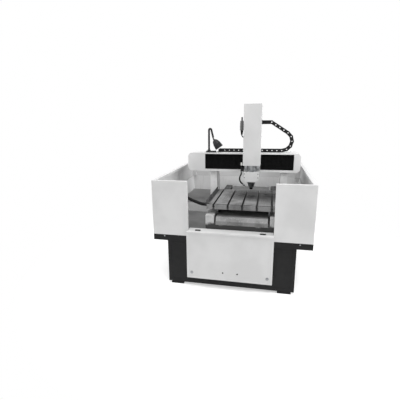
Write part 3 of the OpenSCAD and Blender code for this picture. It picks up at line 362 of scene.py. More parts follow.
@dataclass(frozen=True)
class PlanedIron(Finish):
    """Grey cast iron, planed and then used: tool lines along the slots and dark rings of dried coolant."""

    colour: str = "#828282"
    worn: str = "#5c5c5c"
    stain: str = "#171717"
    line_mm: float = 1.6
    spot: Point = (215.0, -197.0, 701.0)
    slots: tuple[float, float, float] = (87.0, 120.0, 7.0)
    gutter: tuple[float, float] = (-587.5, 6.0)
    rubbed: str = "#333333"
    dried: str = "#555555"
    bright: str = "#acacac"

    def sheet(self) -> Sheet:
        """Tool lines drawn coarser than real ones so that they show, clouds of wear, a stain, painted shade
        in the slots and a painted shadow line along the front lip.
        """
        s = Sheet(self.name)
        lines = s.noise(self.line_mm, 1, 0.5, s.stretched(1, 0.012, 0.3))
        cloud = s.ramp(s.noise(230, 4, 0.55), 0.38, 0.66)
        blot = s.ramp(s.noise(150, 5, 0.6), 0.46, 0.68, 0.0, 0.6)
        core = s.ramp(s.far(self.spot, 230.0, (0.7, 1.1, 1.0)), 0.0, 0.5)
        near = s.maths("MULTIPLY", core, s.ramp(s.noise(38, 5, 0.6), 0.2, 0.5))
        base = s.mix(cloud, srgb(self.colour), srgb(self.worn))
        wear = s.ramp(s.far(self.spot, 380.0, (0.8, 1.1, 1.0)), 0.05, 0.4, 0.0, 0.9)
        used_most = s.mix(wear, base, srgb(self.rubbed))
        blotted = s.mix(blot, used_most, srgb(self.dried))
        lined = s.mix(s.ramp(lines, 0.35, 0.65, 0.0, 0.22), blotted, srgb(self.bright))
        middle, pitch, half = (v * MM for v in self.slots)
        along = s.maths("SUBTRACT", s.axis("X"), middle - pitch / 2)
        turn = s.maths("FRACT", s.maths("DIVIDE", along, pitch))
        off = s.maths("MULTIPLY", s.maths("ABSOLUTE", s.maths("SUBTRACT", turn, 0.5)), pitch)
        lip = s.maths("ABSOLUTE", s.maths("SUBTRACT", s.axis("Y"), self.gutter[0] * MM))
        # Painted shade: the slots and a rim 3 mm round them are darkened in the colour, and a thin line
        # beside the front lip is a painted shadow.
        beside_slot = s.ramp(off, half, half + 0.003, 0.85, 0.0)
        beside_lip = s.ramp(lip, self.gutter[1] * MM, 0.011, 0.9, 0.0)
        slot_and_lip_shade = s.maths("MAXIMUM", beside_slot, beside_lip)
        # The stain's colour paints the real stain and also the painted shade of the slots and the lip.
        tone = s.mix(s.maths("MAXIMUM", near, slot_and_lip_shade), lined, srgb(self.stain))
        gloss = s.ramp(blot, 0.0, 0.6, 0.44, 0.65)
        normal = s.bump(lines, 0.05)
        return s.set(Base_Color=tone, Metallic=0.1, Roughness=gloss, Normal=normal, Specular_IOR_Level=0.2)


@dataclass(frozen=True)
class DrawnSteel(Finish):
    """Bright steel ground or drawn along one axis: streaks along it and an oil film."""

    colour: str = "#b4b6b8"
    dull: str = "#8f9193"
    along: Axis = Axis.Y
    roughness: float = 0.3

    def sheet(self) -> Sheet:
        """Streaks 0.8 mm apart along the axis, gloss that follows them."""
        s = Sheet(self.name)
        factors = [0.01 if v else 1.0 for v in self.along.value]
        streak = s.noise(0.8, 2, 0.5, s.stretched(*factors))
        cloud = s.ramp(s.noise(60, 4), 0.4, 0.7)
        gloss = s.ramp(streak, 0.3, 0.7, self.roughness - 0.06, self.roughness + 0.12)
        base = s.mix(cloud, srgb(self.colour), srgb(self.dull))
        return s.set(Base_Color=base, Metallic=1.0, Roughness=gloss, Normal=s.bump(streak, 0.02))


@dataclass(frozen=True)
class TurnedSteel(Finish):
    """Steel turned on a lathe about an upright axis: fine rings, and heat and coolant marks."""

    colour: str = "#9c9ea0"
    dull: str = "#6f7173"
    ring_mm: float = 0.9
    roughness: float = 0.32

    def sheet(self) -> Sheet:
        """Rings as a noise that only changes with height."""
        s = Sheet(self.name)
        rings = s.noise(self.ring_mm, 2, 0.5, s.stretched(0.004, 0.004, 1))
        cloud = s.ramp(s.noise(38, 4, 0.6), 0.4, 0.68)
        gloss = s.ramp(rings, 0.3, 0.7, self.roughness - 0.06, self.roughness + 0.14)
        base = s.mix(cloud, srgb(self.colour), srgb(self.dull))
        return s.set(Base_Color=base, Metallic=1.0, Roughness=gloss, Normal=s.bump(rings, 0.03))


@dataclass(frozen=True)
class ThreadedSteel(Finish):
    """A ground ball screw: the ball track winds round it once every lead."""

    axis: Axis = Axis.Y
    centre: Point = (0.0, 0.0, 0.0)
    lead_mm: float = 10.0
    colour: str = "#a8aaac"
    groove_shade: str = "#3c3d3e"

    def sheet(self) -> Sheet:
        """A helix from the angle round the axis and the way along it, as bump and as a dark line that is
        painted shade in the groove.
        """
        s = Sheet(self.name)
        names = {Axis.X: ("X", "Y", "Z", 1, 2), Axis.Y: ("Y", "X", "Z", 0, 2), Axis.Z: ("Z", "X", "Y", 0, 1)}
        along, first, second, i, j = names[self.axis]
        u = s.maths("SUBTRACT", s.axis(first), self.centre[i] * MM)
        v = s.maths("SUBTRACT", s.axis(second), self.centre[j] * MM)
        turn = s.maths("DIVIDE", s.maths("ARCTAN2", u, v), 2 * math.pi)
        phase = s.maths("FRACT", s.maths("ADD", s.maths("DIVIDE", s.axis(along), self.lead_mm * MM), turn))
        track = s.ramp(s.maths("ABSOLUTE", s.maths("SUBTRACT", phase, 0.5)), 0.12, 0.3)
        # The groove's dark colour is painted shade.
        base = s.mix(track, srgb(self.groove_shade), srgb(self.colour))
        return s.set(Base_Color=base, Metallic=1.0, Roughness=0.28, Normal=s.bump(track, 1.2))


@dataclass(frozen=True)
class RolledSheet(Finish):
    """Cold-rolled stainless sheet over the ways: dull, lightly brushed and spotted with dried drops."""

    colour: str = "#848484"
    spot: str = "#626262"
    roughness: float = 0.5
    drop: str = "#a4a4a4"

    def sheet(self) -> Sheet:
        """A brushed grain along the ways with drop marks about 10 mm across."""
        s = Sheet(self.name)
        grain = s.noise(1.2, 2, 0.5, s.stretched(1, 0.02, 1))
        cloud = s.ramp(s.noise(130, 5, 0.6), 0.4, 0.65, 0.0, 0.75)
        drops = s.ramp(s.noise(10, 2), 0.6, 0.66, 0.0, 0.5)
        base = s.mix(drops, s.mix(cloud, srgb(self.colour), srgb(self.spot)), srgb(self.drop))
        gloss = s.ramp(grain, 0.3, 0.7, self.roughness - 0.06, self.roughness + 0.12)
        return s.set(Base_Color=base, Metallic=0.5, Roughness=gloss, Normal=s.bump(grain, 0.03))


@dataclass(frozen=True)
class BlackCoat(Finish):
    """Black powder coat on thick plate: satin, with a fine wrinkle, grey dust and pale rubbed spots."""

    colour: str = "#0d0d0e"
    dust: str = "#19191a"
    grain_mm: float = 1.8
    roughness: float = 0.5
    dusty: float = 0.45
    rubbed: str = "#343435"

    def sheet(self) -> Sheet:
        """Dust lies in clouds, with paler specks where it is rubbed."""
        s = Sheet(self.name)
        cloud = s.ramp(s.noise(150, 6, 0.6), 0.42, 0.7, 0.0, self.dusty)
        speck = s.ramp(s.noise(5, 3), 0.66, 0.76, 0.0, 0.35)
        base = s.mix(speck, s.mix(cloud, srgb(self.colour), srgb(self.dust)), srgb(self.rubbed))
        gloss = s.ramp(s.noise(45, 3), 0.3, 0.7, self.roughness - 0.08, self.roughness + 0.1)
        wrinkle = s.bump(s.noise(self.grain_mm, 2), 0.07)
        return s.set(Base_Color=base, Roughness=gloss, Normal=wrinkle, Specular_IOR_Level=0.25)


@dataclass(frozen=True)
class CoatedCloth(Finish):
    """Polyester cloth coated in black polyurethane, for bellows: a tight weave under a dull skin."""

    colour: str = "#060607"
    thread_mm: float = 1.4
    dust: str = "#0f0f10"

    def sheet(self) -> Sheet:
        """Two crossed sets of ribs for the threads, drawn at about twice their real spacing."""
        s = Sheet(self.name)
        pitch = self.thread_mm * MM
        warp = s.maths("SINE", s.maths("MULTIPLY", s.axis("X"), 2 * math.pi / pitch))
        weft = s.maths("SINE", s.maths("MULTIPLY", s.axis("Z"), 2 * math.pi / pitch))
        weave = s.ramp(s.maths("MULTIPLY", warp, weft), -1.0, 1.0)
        dusty = s.ramp(s.noise(60, 5), 0.45, 0.75, 0.0, 0.35)
        gloss = s.ramp(s.noise(22, 3), 0.3, 0.7, 0.66, 0.82)
        base = s.mix(dusty, srgb(self.colour), srgb(self.dust))
        s.set(Base_Color=base, Roughness=gloss, Normal=s.bump(weave, 0.12), Specular_IOR_Level=0.12)
        return s.set(Sheen_Weight=0.04, Sheen_Roughness=0.5)


@dataclass(frozen=True)
class Moulded(Finish):
    """Injection-moulded or extruded polymer: even colour with a fine spark-eroded or drawn skin."""

    colour: str = "#161617"
    dust: str = "#2b2b2c"
    grain_mm: float = 0.9
    depth_mm: float = 0.03
    roughness: float = 0.45

    def sheet(self) -> Sheet:
        """A fine grain and thin dust."""
        s = Sheet(self.name)
        cloud = s.ramp(s.noise(28, 4), 0.45, 0.75, 0.0, 0.6)
        gloss = s.ramp(s.noise(16, 3), 0.3, 0.7, self.roughness - 0.06, self.roughness + 0.1)
        base = s.mix(cloud, srgb(self.colour), srgb(self.dust))
        skin = s.bump(s.noise(self.grain_mm, 1), self.depth_mm)
        return s.set(Base_Color=base, Roughness=gloss, Normal=skin, Specular_IOR_Level=0.25)


@dataclass(frozen=True)
class BlackOxide(Finish):
    """Chemically blackened, oiled steel: deep grey with a low sheen, brown-grey where hands wear it."""

    colour: str = "#2a2a2b"
    worn: str = "#5d5e60"

    def sheet(self) -> Sheet:
        """Wear in small clouds."""
        s = Sheet(self.name)
        cloud = s.ramp(s.noise(7, 4, 0.6), 0.52, 0.74, 0.0, 0.7)
        gloss = s.ramp(s.noise(5, 3), 0.3, 0.7, 0.28, 0.5)
        base = s.mix(cloud, srgb(self.colour), srgb(self.worn))
        return s.set(Base_Color=base, Metallic=0.85, Roughness=gloss, Normal=s.bump(s.noise(0.8, 2), 0.02))


@dataclass(frozen=True)
class FrostedGlass(Finish):
    """A soda-lime bulb, etched inside: milky, smooth outside."""

    colour: str = "#e9e9e4"
    mottled: str = "#d7d7d1"

    def sheet(self) -> Sheet:
        """A little light goes through; the etch is a fine mottling of the colour."""
        s = Sheet(self.name)
        mottle = s.ramp(s.noise(1.6, 3), 0.3, 0.7)
        base = s.mix(mottle, srgb(self.colour), srgb(self.mottled))
        etch = s.bump(mottle, 0.01)
        return s.set(Base_Color=base, Roughness=0.22, Transmission_Weight=0.25, Normal=etch, IOR=1.52)


class Coat(Enum):
    """Each finish on the machine, under the name of what carries it."""

    PANEL = PowderCoat("powder_coated_steel_white")
    CAPS = PowderCoat("powder_coated_caps_white", "#e0e0e0", "#d8d8d8")
    TRAY = WetTrayPaint("powder_coated_tray_washed")
    CASTING = CastEnamel("enamelled_cast_iron")
    # The bed's enamel has painted shade at its foot.
    BED = DarkenedBedCasting("enamelled_cast_iron_bed_painted_shade")
    # The columns' white enamel is written lighter than the other white parts, as painted light that makes up
    # for the shade under the beam.
    COLUMN = CastEnamel("enamelled_cast_iron_column_painted_light", "#f0f0f0", "#dedede", 0.42)
    CLAMP = CastEnamel("enamelled_cast_iron_clamp", "#d4d4d4", "#c0c0c0", 0.42)
    BLACK_FRAME = BlackCoat("powder_coated_plate_black")
    BLACK_SKIRT = BlackCoat("powder_coated_channel_black", "#0e0e0f", "#1c1c1d", 1.8, 0.48, 0.35)
    TABLE = PlanedIron("planed_cast_iron")
    GUARD = BlackCoat("painted_guard_strip_worn", "#333334", "#5a5a5a", 2.0, 0.45, 0.8)
    COVER_SHEET = RolledSheet("rolled_stainless_sheet")
    RAIL_Y = DrawnSteel("ground_rail_steel_along", along=Axis.Y)
    RAIL_X = DrawnSteel("ground_rail_steel_across", along=Axis.X)
    RAIL_Z = DrawnSteel("ground_rail_steel_upright", along=Axis.Z)
    SCREW_Y = ThreadedSteel("ground_ball_screw_along", Axis.Y, (87.0, 0.0, 563.0))
    SCREW_X = ThreadedSteel("ground_ball_screw_across", Axis.X, (0.0, 72.0, 990.0))
    SCREW_Z = ThreadedSteel("ground_ball_screw_upright", Axis.Z, (128.0, -43.0, 0.0))
    SPINDLE = TurnedSteel("turned_stainless_housing")
    SHAFT = TurnedSteel("ground_spindle_nose", "#b9bbbd", "#8e9092", 0.6, 0.24)
    MOTOR = BlackCoat("die_cast_motor_black", "#1b1b1c", "#303031", 1.2, 0.4, 0.3)
    BLACK_STEEL = BlackOxide("blackened_steel")
    CLOTH = CoatedCloth("coated_bellows_cloth")
    NYLON = Moulded("moulded_nylon_black", "#0c0c0d", "#1b1b1c", 0.9, 0.03, 0.42)
    RUBBER = Moulded("extruded_rubber_black", "#0a0a0b", "#171718", 0.6, 0.05, 0.58)
    CABLE_JACKET = Moulded("extruded_pvc_black", "#161617", "#232324", 0.6, 0.02, 0.5)
    LAMP_BLACK = BlackCoat("stoved_lamp_enamel", "#1d1d1e", "#3a3a3b", 0.9, 0.36, 0.35)
    LAMP_SHADE = BlackCoat("stoved_shade_enamel", "#1c1c1d", "#303031", 0.9, 0.34, 0.4)
    BULB = FrostedGlass("etched_bulb_glass")
    KNOB = Moulded("moulded_knob_white", "#dededb", "#cfcfcb", 0.7, 0.02, 0.35)
    CONNECTOR = Moulded("moulded_connector_grey", "#6e6e6e", "#5a5a5a", 0.8, 0.03, 0.4)

    def material(self) -> bpy.types.Material:
        """The Blender material, built on first use."""
        return bpy.data.materials.get(self.value.name) or self.value.sheet().material


# ---------- Meshes ----------


@dataclass
class Draft:
    """A mesh in millimetres that grows shape by shape and becomes one object at the end."""

    points: list[Vector] = field(default_factory=list)
    faces: list[tuple[int, ...]] = field(default_factory=list)
    tags: list[float] = field(default_factory=list)

    def add(
        self,
        points: Iterable[Sequence[float]],
        faces: Iterable[Sequence[int]],
        place: Matrix | None = None,
        tag: Callable[[Vector], float] | None = None,
    ) -> "Draft":
        """Adds points and faces.

        Args:
            points: Points in the shape's own frame.
            faces: Their faces, counted from this shape's first point.
            place: Where the shape's own frame lies.
            tag: Gives each local point a number that is kept with it, such as a share of bending.

        Returns:
            This draft.
        """
        start = len(self.points)
        local = [Vector(p) for p in points]
        self.points += [place @ p for p in local] if place is not None else local
        self.faces += [tuple(start + i for i in f) for f in faces]
        self.tags += [tag(p) if tag else 0.0 for p in local]
        return self

    def loops(
        self,
        rings: Sequence[Sequence[Sequence[float]]],
        place: Matrix | None = None,
        round_trip: bool = False,
        caps: bool = True,
        tag: Callable[[Vector], float] | None = None,
    ) -> "Draft":
        """Joins rings of equally many points into a skin.

        Args:
            rings: The rings, in order.
            place: Where the shape's own frame lies.
            round_trip: Whether the last ring joins the first.
            caps: Whether the first and last rings are closed.
            tag: As in add.

        Returns:
            This draft.
        """
        n = len(rings[0])
        spans = range(len(rings) if round_trip else len(rings) - 1)
        faces = []
        for i in spans:
            here, there = i * n, (i + 1) % len(rings) * n
            faces += [(here + k, here + (k + 1) % n, there + (k + 1) % n, there + k) for k in range(n)]
        if caps and not round_trip:
            faces += [tuple(range(n))[::-1], tuple((len(rings) - 1) * n + k for k in range(n))]
        return self.add([p for ring in rings for p in ring], faces, place, tag)

    def turned(
        self,
        profile: Sequence[tuple[float, float] | tuple[float, float, int]],
        place: Matrix,
        steps: int = 32,
    ) -> "Draft":
        """Turns a profile about the local Z.

        Args:
            profile: Radius and height of each ring, and as a third number HEXAGON where it is a hexagon.
            place: Where the shape's own frame lies.
            steps: Points round a ring.

        Returns:
            This draft.
        """
        rings = []
        for entry in profile:
            radius, height, sides = (*entry, 0)[:3]
            ring = []
            for k in range(steps):
                a = 2 * math.pi * k / steps
                if sides:
                    part = math.pi / sides
                    r = radius / math.cos((a % (2 * part)) - part)
                else:
                    r = radius
                ring.append((r * math.cos(a), r * math.sin(a), height))
            rings.append(ring)
        return self.loops(rings, place)

    def block(
        self,
        low: Sequence[float],
        high: Sequence[float],
        place: Matrix | None = None,
        chamfer: float = 0.0,
        tag: Callable[[Vector], float] | None = None,
    ) -> "Draft":
        """A block between two corners, its long edges along Z and its ends cut by a chamfer.

        Args:
            low: The corner with the lowest coordinates.
            high: The opposite corner.
            place: Where the shape's own frame lies.
            chamfer: Width of the cut edges.
            tag: As in add.

        Returns:
            This draft.
        """
        (x0, y0, z0), (x1, y1, z1) = low, high
        c = chamfer

        def ring(inset: float, z: float) -> list[Point]:
            """An eight-sided ring at one height."""
            a0, a1, b0, b1, k = x0 + inset, x1 - inset, y0 + inset, y1 - inset, max(c, 0.01)
            return [
                (a0 + k, b0, z), (a1 - k, b0, z), (a1, b0 + k, z), (a1, b1 - k, z),
                (a1 - k, b1, z), (a0 + k, b1, z), (a0, b1 - k, z), (a0, b0 + k, z),
            ]

        levels = [(c, z0), (0, z0 + c), (0, z1 - c), (c, z1)] if c else [(0, z0), (0, z1)]
        return self.loops([ring(inset, z) for inset, z in levels], place, tag=tag)

    def swept(
        self,
        path: Sequence[Vector],
        radius: Callable[[float], float],
        sides: int,
        tag: Callable[[float], float] | None = None,
    ) -> "Draft":
        """Carries a circle along a path.

        Args:
            path: The centreline.
            radius: The circle's radius at a length along the path.
            sides: Points round the circle.
            tag: Gives each ring a number from its share of the whole length.

        Returns:
            This draft.
        """
        lengths = run_lengths(path)
        side = Vector((0, 0, 1))
        rings, tags = [], []
        for i, p in enumerate(path):
            ahead = (path[min(i + 1, len(path) - 1)] - path[max(i - 1, 0)]).normalized()
            if i == 0 and abs(ahead.dot(side)) > 0.9:
                side = Vector((0, 1, 0))
            side = (side - ahead * side.dot(ahead)).normalized()
            other = ahead.cross(side)
            r = radius(lengths[i])
            angles = [2 * math.pi * k / sides for k in range(sides)]
            rings.append([p + side * (r * math.cos(a)) + other * (r * math.sin(a)) for a in angles])
            tags += [tag(lengths[i] / lengths[-1]) if tag else 0.0] * sides
        start = len(self.tags)
        self.loops(rings)
        self.tags[start:] = tags
        return self

    def finish(self, name: str, coat: Coat, smooth_deg: float = 35.0) -> bpy.types.Object:
        """Makes the object.

        Args:
            name: The piece's name.
            coat: Its finish.
            smooth_deg: Edges sharper than this stay sharp.

        Returns:
            The object, in metres, in the scene and riding on nothing yet.
        """
        mesh = bpy.data.meshes.new(name)
        mesh.from_pydata([p * MM for p in self.points], [], self.faces)
        shape = bmesh.new()
        shape.from_mesh(mesh)
        bmesh.ops.recalc_face_normals(shape, faces=shape.faces)
        shape.to_mesh(mesh)
        shape.free()
        mesh.shade_smooth()
        mesh.set_sharp_from_angle(angle=math.radians(smooth_deg))
        mesh.materials.append(coat.material())
        piece = bpy.data.objects.new(name, mesh)
        bpy.context.scene.collection.objects.link(piece)
        return piece


def run_lengths(path: Sequence[Vector]) -> list[float]:
    """The length along a path at each of its points."""
    lengths = [0.0]
    for a, b in zip(path, path[1:]):
        lengths.append(lengths[-1] + (b - a).length)
    return lengths


def smooth_path(points: Sequence[Sequence[float]], steps: int) -> list[Vector]:
    """The smooth curve through points, with steps spans between each two of them."""
    p = [Vector(q) for q in points]
    out = []
    for i in range(len(p) - 1):
        a, b, c, d = p[max(i - 1, 0)], p[i], p[i + 1], p[min(i + 2, len(p) - 1)]
        # The curve runs from b to c, and its slopes there come from the neighbours a and d.
        slope, bend, twist = c - a, 2 * a - 5 * b + 4 * c - d, 3 * b - a - 3 * c + d
        for s in range(steps):
            t = s / steps
            out.append(0.5 * (2 * b + slope * t + bend * t**2 + twist * t**3))
    return out + [p[-1]]


def at(x: float, y: float, z: float, turn: Matrix | None = None) -> Matrix:
    """A place in millimetres, with a rotation if one is given."""
    return Matrix.Translation((x, y, z)) @ (turn if turn is not None else Matrix.Identity(4))


def cap_screw(draft: Draft, place: Matrix, size: float) -> None:
    """Adds the head of a socket cap screw, its seat at local Z 0.

    Args:
        draft: The draft that gets it.
        place: Its seat, with local +Z out of the seat.
        size: Nominal thread size in millimetres.
    """
    head, high, key = size * 0.75, size, size * 0.42
    profile = [
        (head, 0), (head, high * 0.86), (head * 0.88, high), (key * 1.25, high),
        (key, high * 0.94, HEXAGON), (key, high * 0.45, HEXAGON),
    ]
    draft.turned(profile, place, SCREW_STEPS)


def button_screw(draft: Draft, place: Matrix, size: float) -> None:
    """Adds the low domed head of a button screw with its washer, its seat at local Z 0.

    Args:
        draft: The draft that gets it.
        place: Its seat, with local +Z out of the seat.
        size: Nominal thread size in millimetres.
    """
    head, high, key = size * 0.9, size * 0.5, size * 0.34
    washer, seat = size * 1.15, 0.9
    profile = [
        (washer, 0), (washer, 0.8), (head, seat), (head * 0.96, seat + high * 0.4),
        (head * 0.72, seat + high * 0.85), (key * 1.3, seat + high),
        (key, seat + high * 0.9, HEXAGON), (key, seat + high * 0.35, HEXAGON),
    ]
    draft.turned(profile, place, SCREW_STEPS)


def soften(node: bpy.types.Object, width_mm: float) -> None:
    """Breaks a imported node's sharp edges with modifiers, which leave its mesh as it is.

    Args:
        node: The node's object.
        width_mm: Width of the broken edge.
    """
    same_point_m, flat_deg, sharp_deg = 0.00001, 0.4, 40
    weld = node.modifiers.new("weld", "WELD")
    weld.merge_threshold = same_point_m
    flat = node.modifiers.new("flat", "DECIMATE")
    flat.decimate_type = "DISSOLVE"
    flat.angle_limit = math.radians(flat_deg)
    edge = node.modifiers.new("edge", "BEVEL")
    edge.width = width_mm * MM
    edge.segments = 2
    edge.limit_method = "ANGLE"
    edge.angle_limit = math.radians(sharp_deg)
    edge.use_clamp_overlap = True
    edge.harden_normals = True


def dress(nodes: dict[str, bpy.types.Object], coat: Coat, names: Sequence[str], edge_mm: float = 0.0) -> None:
    """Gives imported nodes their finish.

    Args:
        nodes: The frame's nodes by name.
        coat: The finish.
        names: The nodes that carry it.
        edge_mm: Width of their broken edges, or 0 where the mesh stays bare.
    """
    for name in names:
        node = nodes[name]
        node.data.materials.clear()
        node.data.materials.append(coat.material())
        if edge_mm:
            soften(node, edge_mm)
    LOG.info("dressed %s: %s", coat.value.name, ", ".join(names))


def bend_between(piece: bpy.types.Object, shares: Sequence[float]) -> None:
    """Puts each point of a piece for a moment on a line along X, where the eased curve gives its share.

    The object's transform is baked while the points lie there, and then they go back to their true places.
    The piece is not attached to any body here.

    Args:
        piece: The piece, its mesh in the frame's own coordinates.
        shares: One share for each vertex.
    """
    mesh = piece.data
    true_places = [v.co.copy() for v in mesh.vertices]
    for vertex, share in zip(mesh.vertices, shares):
        clipped = min(1.0, max(0.0, share))
        vertex.co = (0.5 - math.sin(math.asin(1 - 2 * clipped) / 3), 0.0, 0.0)
    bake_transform(piece)
    for vertex, place in zip(mesh.vertices, true_places):
        vertex.co = place
    mesh.update()


# ---------- Enclosure and pedestal ----------


@dataclass
class Enclosure:
    """The black pedestal and channel frame, the white walls, the tray and the two removable covers."""

    half_width: float = 650.0
    front_y: float = -725.0
    skirt_z: float = 440.0
    panel_face_y: float = -752.0
    panel_screw: tuple[float, float] = (313.0, 139.0)
    slot: Point = (265.0, -712.3, 505.0)
    slot_straight: float = 29.0
    slot_r: float = 7.5
    corner_bolt_x: float = 552.0
    side_bolt_y: tuple[float, ...] = (-560.0, -190.0, 180.0, 560.0)
    back_bolt_x: tuple[float, ...] = (-420.0, 0.0, 420.0)

    def dress(self, nodes: dict[str, bpy.types.Object]) -> None:
        """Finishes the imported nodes."""
        dress(nodes, Coat.BLACK_FRAME, ["base_frame", "foot_plates"], 1.6)
        dress(nodes, Coat.BLACK_SKIRT, ["enclosure_frame"], 1.6)
        dress(nodes, Coat.TRAY, ["splash_tray"], 0.9)
        walls = ["side_wall_left", "side_wall_right", "back_wall", "front_panel", "rear_cover"]
        dress(nodes, Coat.PANEL, walls, 1.0)

    def panel_locks(self) -> bpy.types.Object:
        """Two slotted quarter-turn locks that hold the front panel at its lower corners."""
        draft = Draft()
        x, z = self.panel_screw
        rim = [(13, -1), (13, 0.9), (11.8, 1.8), (10.6, 1.8), (9.6, 1.2), (9.4, 1.2)]
        dome = [(9.0, 4.2), (7.6, 5.4), (0.02, 5.8)]
        for s in (-1, 1):
            place = at(s * x, self.panel_face_y, z, Axis.Y.turn(-1))
            draft.turned(rim + dome, place, 32)
            draft.block((-7.2, -1.0, 5.1), (7.2, 1.0, 6.3), place, 0.3)
        return draft.finish("panel_locks", Coat.SPINDLE)

    def slot_trims(self) -> bpy.types.Object:
        """Edge trims clipped into the two finger slots of the sill."""
        draft = Draft()
        x, y, z = self.slot
        half, r = self.slot_straight / 2, self.slot_r

        def ring(radius: float, height: float) -> list[Point]:
            """A long round outline at one height."""
            points = []
            for k in range(40):
                a = math.radians(9 * k)
                shift = half if math.cos(a) > 0 else -half
                points.append((radius * math.cos(a) + shift, radius * math.sin(a), height))
            return points

        outline = [
            (r - 0.1, -4.5), (r - 0.1, 0), (r + 3.6, 0), (r + 3.6, 0.9),
            (r + 2.6, 1.6), (r - 0.6, 1.6), (r - 1.8, 0.6), (r - 1.8, -4.5),
        ]
        for s in (-1, 1):
            draft.loops([ring(a, b) for a, b in outline], at(s * x, y, z), round_trip=True)
        return draft.finish("sill_slot_trims", Coat.NYLON)

    def skirt_bolts(self) -> bpy.types.Object:
        """Button screws along the channel frame that hold the walls down."""
        draft = Draft()
        for s in (-1, 1):
            button_screw(draft, at(s * self.corner_bolt_x, self.front_y, self.skirt_z, Axis.Y.turn(-1)), 5)
            for y in self.side_bolt_y:
                button_screw(draft, at(s * self.half_width, y, self.skirt_z, Axis.X.turn(s)), 5)
        for x in self.back_bolt_x:
            button_screw(draft, at(x, -self.front_y, self.skirt_z, Axis.Y.turn(1)), 5)
        return draft.finish("skirt_bolts", Coat.RAIL_Z)

    def build(self, nodes: dict[str, bpy.types.Object]) -> None:
        """Dresses the nodes and adds the fasteners."""
        self.dress(nodes)
        for piece in (self.panel_locks(), self.slot_trims(), self.skirt_bolts()):
            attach(piece, Body.FRAME.value)
            LOG.info("piece %s", piece.name)


# ---------- Table and its drive ----------


@dataclass
class TableDrive:
    """The bed with its ways, the moving table and the hose that drains the table's gutter."""

    route: tuple[Point, ...] = (
        (-638, -178, 690), (-625, -178, 690), (-602, -181, 689), (-572, -197, 688), (-543, -228, 686),
        (-500, -279, 685), (-450, -339, 684), (-400, -398, 684), (-350, -457, 685), (-316, -497, 687),
        (-290, -527, 688), (-265, -549, 689), (-243, -560, 690), (-228, -563, 690), (-217.6, -563, 690),
    )
    hose_d: float = 28.0
    guard_x: tuple[float, float] = (-217.0, 391.0)
    guard_y: tuple[float, float] = (-570.0, -20.0)
    guard_screws: int = 5
    guard_z: float = 681.0

    def dress(self, nodes: dict[str, bpy.types.Object]) -> None:
        """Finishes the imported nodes."""
        dress(nodes, Coat.BED, ["bed"], 2.0)
        dress(nodes, Coat.COVER_SHEET, ["way_cover"], 0.8)
        dress(nodes, Coat.TABLE, ["t_slot_table"], 0.8)
        dress(nodes, Coat.GUARD, ["table_guards"], 0.6)
        dress(nodes, Coat.RAIL_Y, ["y_rails", "y_carriages", "y_saddle"], 0.5)
        dress(nodes, Coat.SCREW_Y, ["y_ballscrew"])
        dress(nodes, Coat.SPINDLE, ["y_nut"])
        dress(nodes, Coat.BLACK_STEEL, ["y_bearing_blocks"], 0.6)
        dress(nodes, Coat.MOTOR, ["y_motor"], 0.8)

    def drain_hose(self) -> bpy.types.Object:
        """A corrugated drain hose, bent between the tray's wall and the table."""
        path = smooth_path(self.route, 8)
        rib, depth = 3.5, 1.1
        fine = resample(path, rib / 3)
        radius = self.hose_d / 2 - depth

        def ribbed(length: float) -> float:
            """The hose's radius at a length along it."""
            return radius + depth * math.cos(math.pi * length / rib) ** 2

        draft = Draft().swept(fine, ribbed, 20, tag=lambda t: t)
        hose = draft.finish("drain_hose_corrugated", Coat.RUBBER, 80)
        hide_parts("drain_hose")
        bend_between(hose, [t * t * (3 - 2 * t) for t in draft.tags])
        return hose

    def hose_clip(self, name: str, centre: Point, body: Body) -> bpy.types.Object:
        """A steel band clamp round the hose at one of its ends."""
        draft = Draft()
        r = self.hose_d / 2
        place = at(*centre, Axis.X.turn())
        band = [(r + 0.2, -5), (r + 1.6, -4.6), (r + 1.6, 4.6), (r + 0.2, 5)]
        draft.loops([ring_of(radius, z, 32) for radius, z in band], place, caps=False)
        draft.block((r + 0.6, -7, -5.5), (r + 7.5, 7, 5.5), place, 1.0)
        cap_screw(draft, place @ at(r + 4, -7, 0, Axis.Y.turn(-1)), 5)
        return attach(draft.finish(name, Coat.BLACK_STEEL), body.value)

    def guard_bolts(self) -> bpy.types.Object:
        """Screws that hold the guard strips to the table's sides."""
        draft = Draft()
        y0, y1 = self.guard_y
        for i in range(self.guard_screws):
            y = y0 + (y1 - y0) * (i + 0.5) / self.guard_screws
            for s, x in ((-1, self.guard_x[0]), (1, self.guard_x[1])):
                button_screw(draft, at(x, y, self.guard_z, Axis.X.turn(s)), 6)
        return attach(draft.finish("guard_screws", Coat.RAIL_Z), Body.TABLE.value)

    def build(self, nodes: dict[str, bpy.types.Object]) -> None:
        """Dresses the nodes and adds the hose and the fasteners."""
        hose = self.drain_hose()
        (wall_x, *wall), (table_x, *table) = self.route[0], self.route[-1]
        clip_l = self.hose_clip("drain_hose_clip_wall", (wall_x + 9, *wall), Body.FRAME)
        clip_t = self.hose_clip("drain_hose_clip_table", (table_x - 8, *table), Body.TABLE)
        self.dress(nodes)
        for piece in (hose, clip_l, clip_t, self.guard_bolts()):
            LOG.info("piece %s", piece.name)


def ring_of(radius: float, z: float, steps: int) -> list[Point]:
    """A circle of points at one height."""
    angles = [2 * math.pi * k / steps for k in range(steps)]
    return [(radius * math.cos(a), radius * math.sin(a), z) for a in angles]


def resample(path: Sequence[Vector], step: float) -> list[Vector]:
    """The same path with points an even step apart."""
    lengths = run_lengths(path)
    count = max(2, round(lengths[-1] / step))
    out, i = [], 0
    for k in range(count + 1):
        goal = lengths[-1] * k / count
        while i < len(path) - 2 and lengths[i + 1] < goal:
            i += 1
        span = lengths[i + 1] - lengths[i]
        out.append(path[i].lerp(path[i + 1], (goal - lengths[i]) / span if span else 0.0))
    return out


# ---------- Gantry ----------


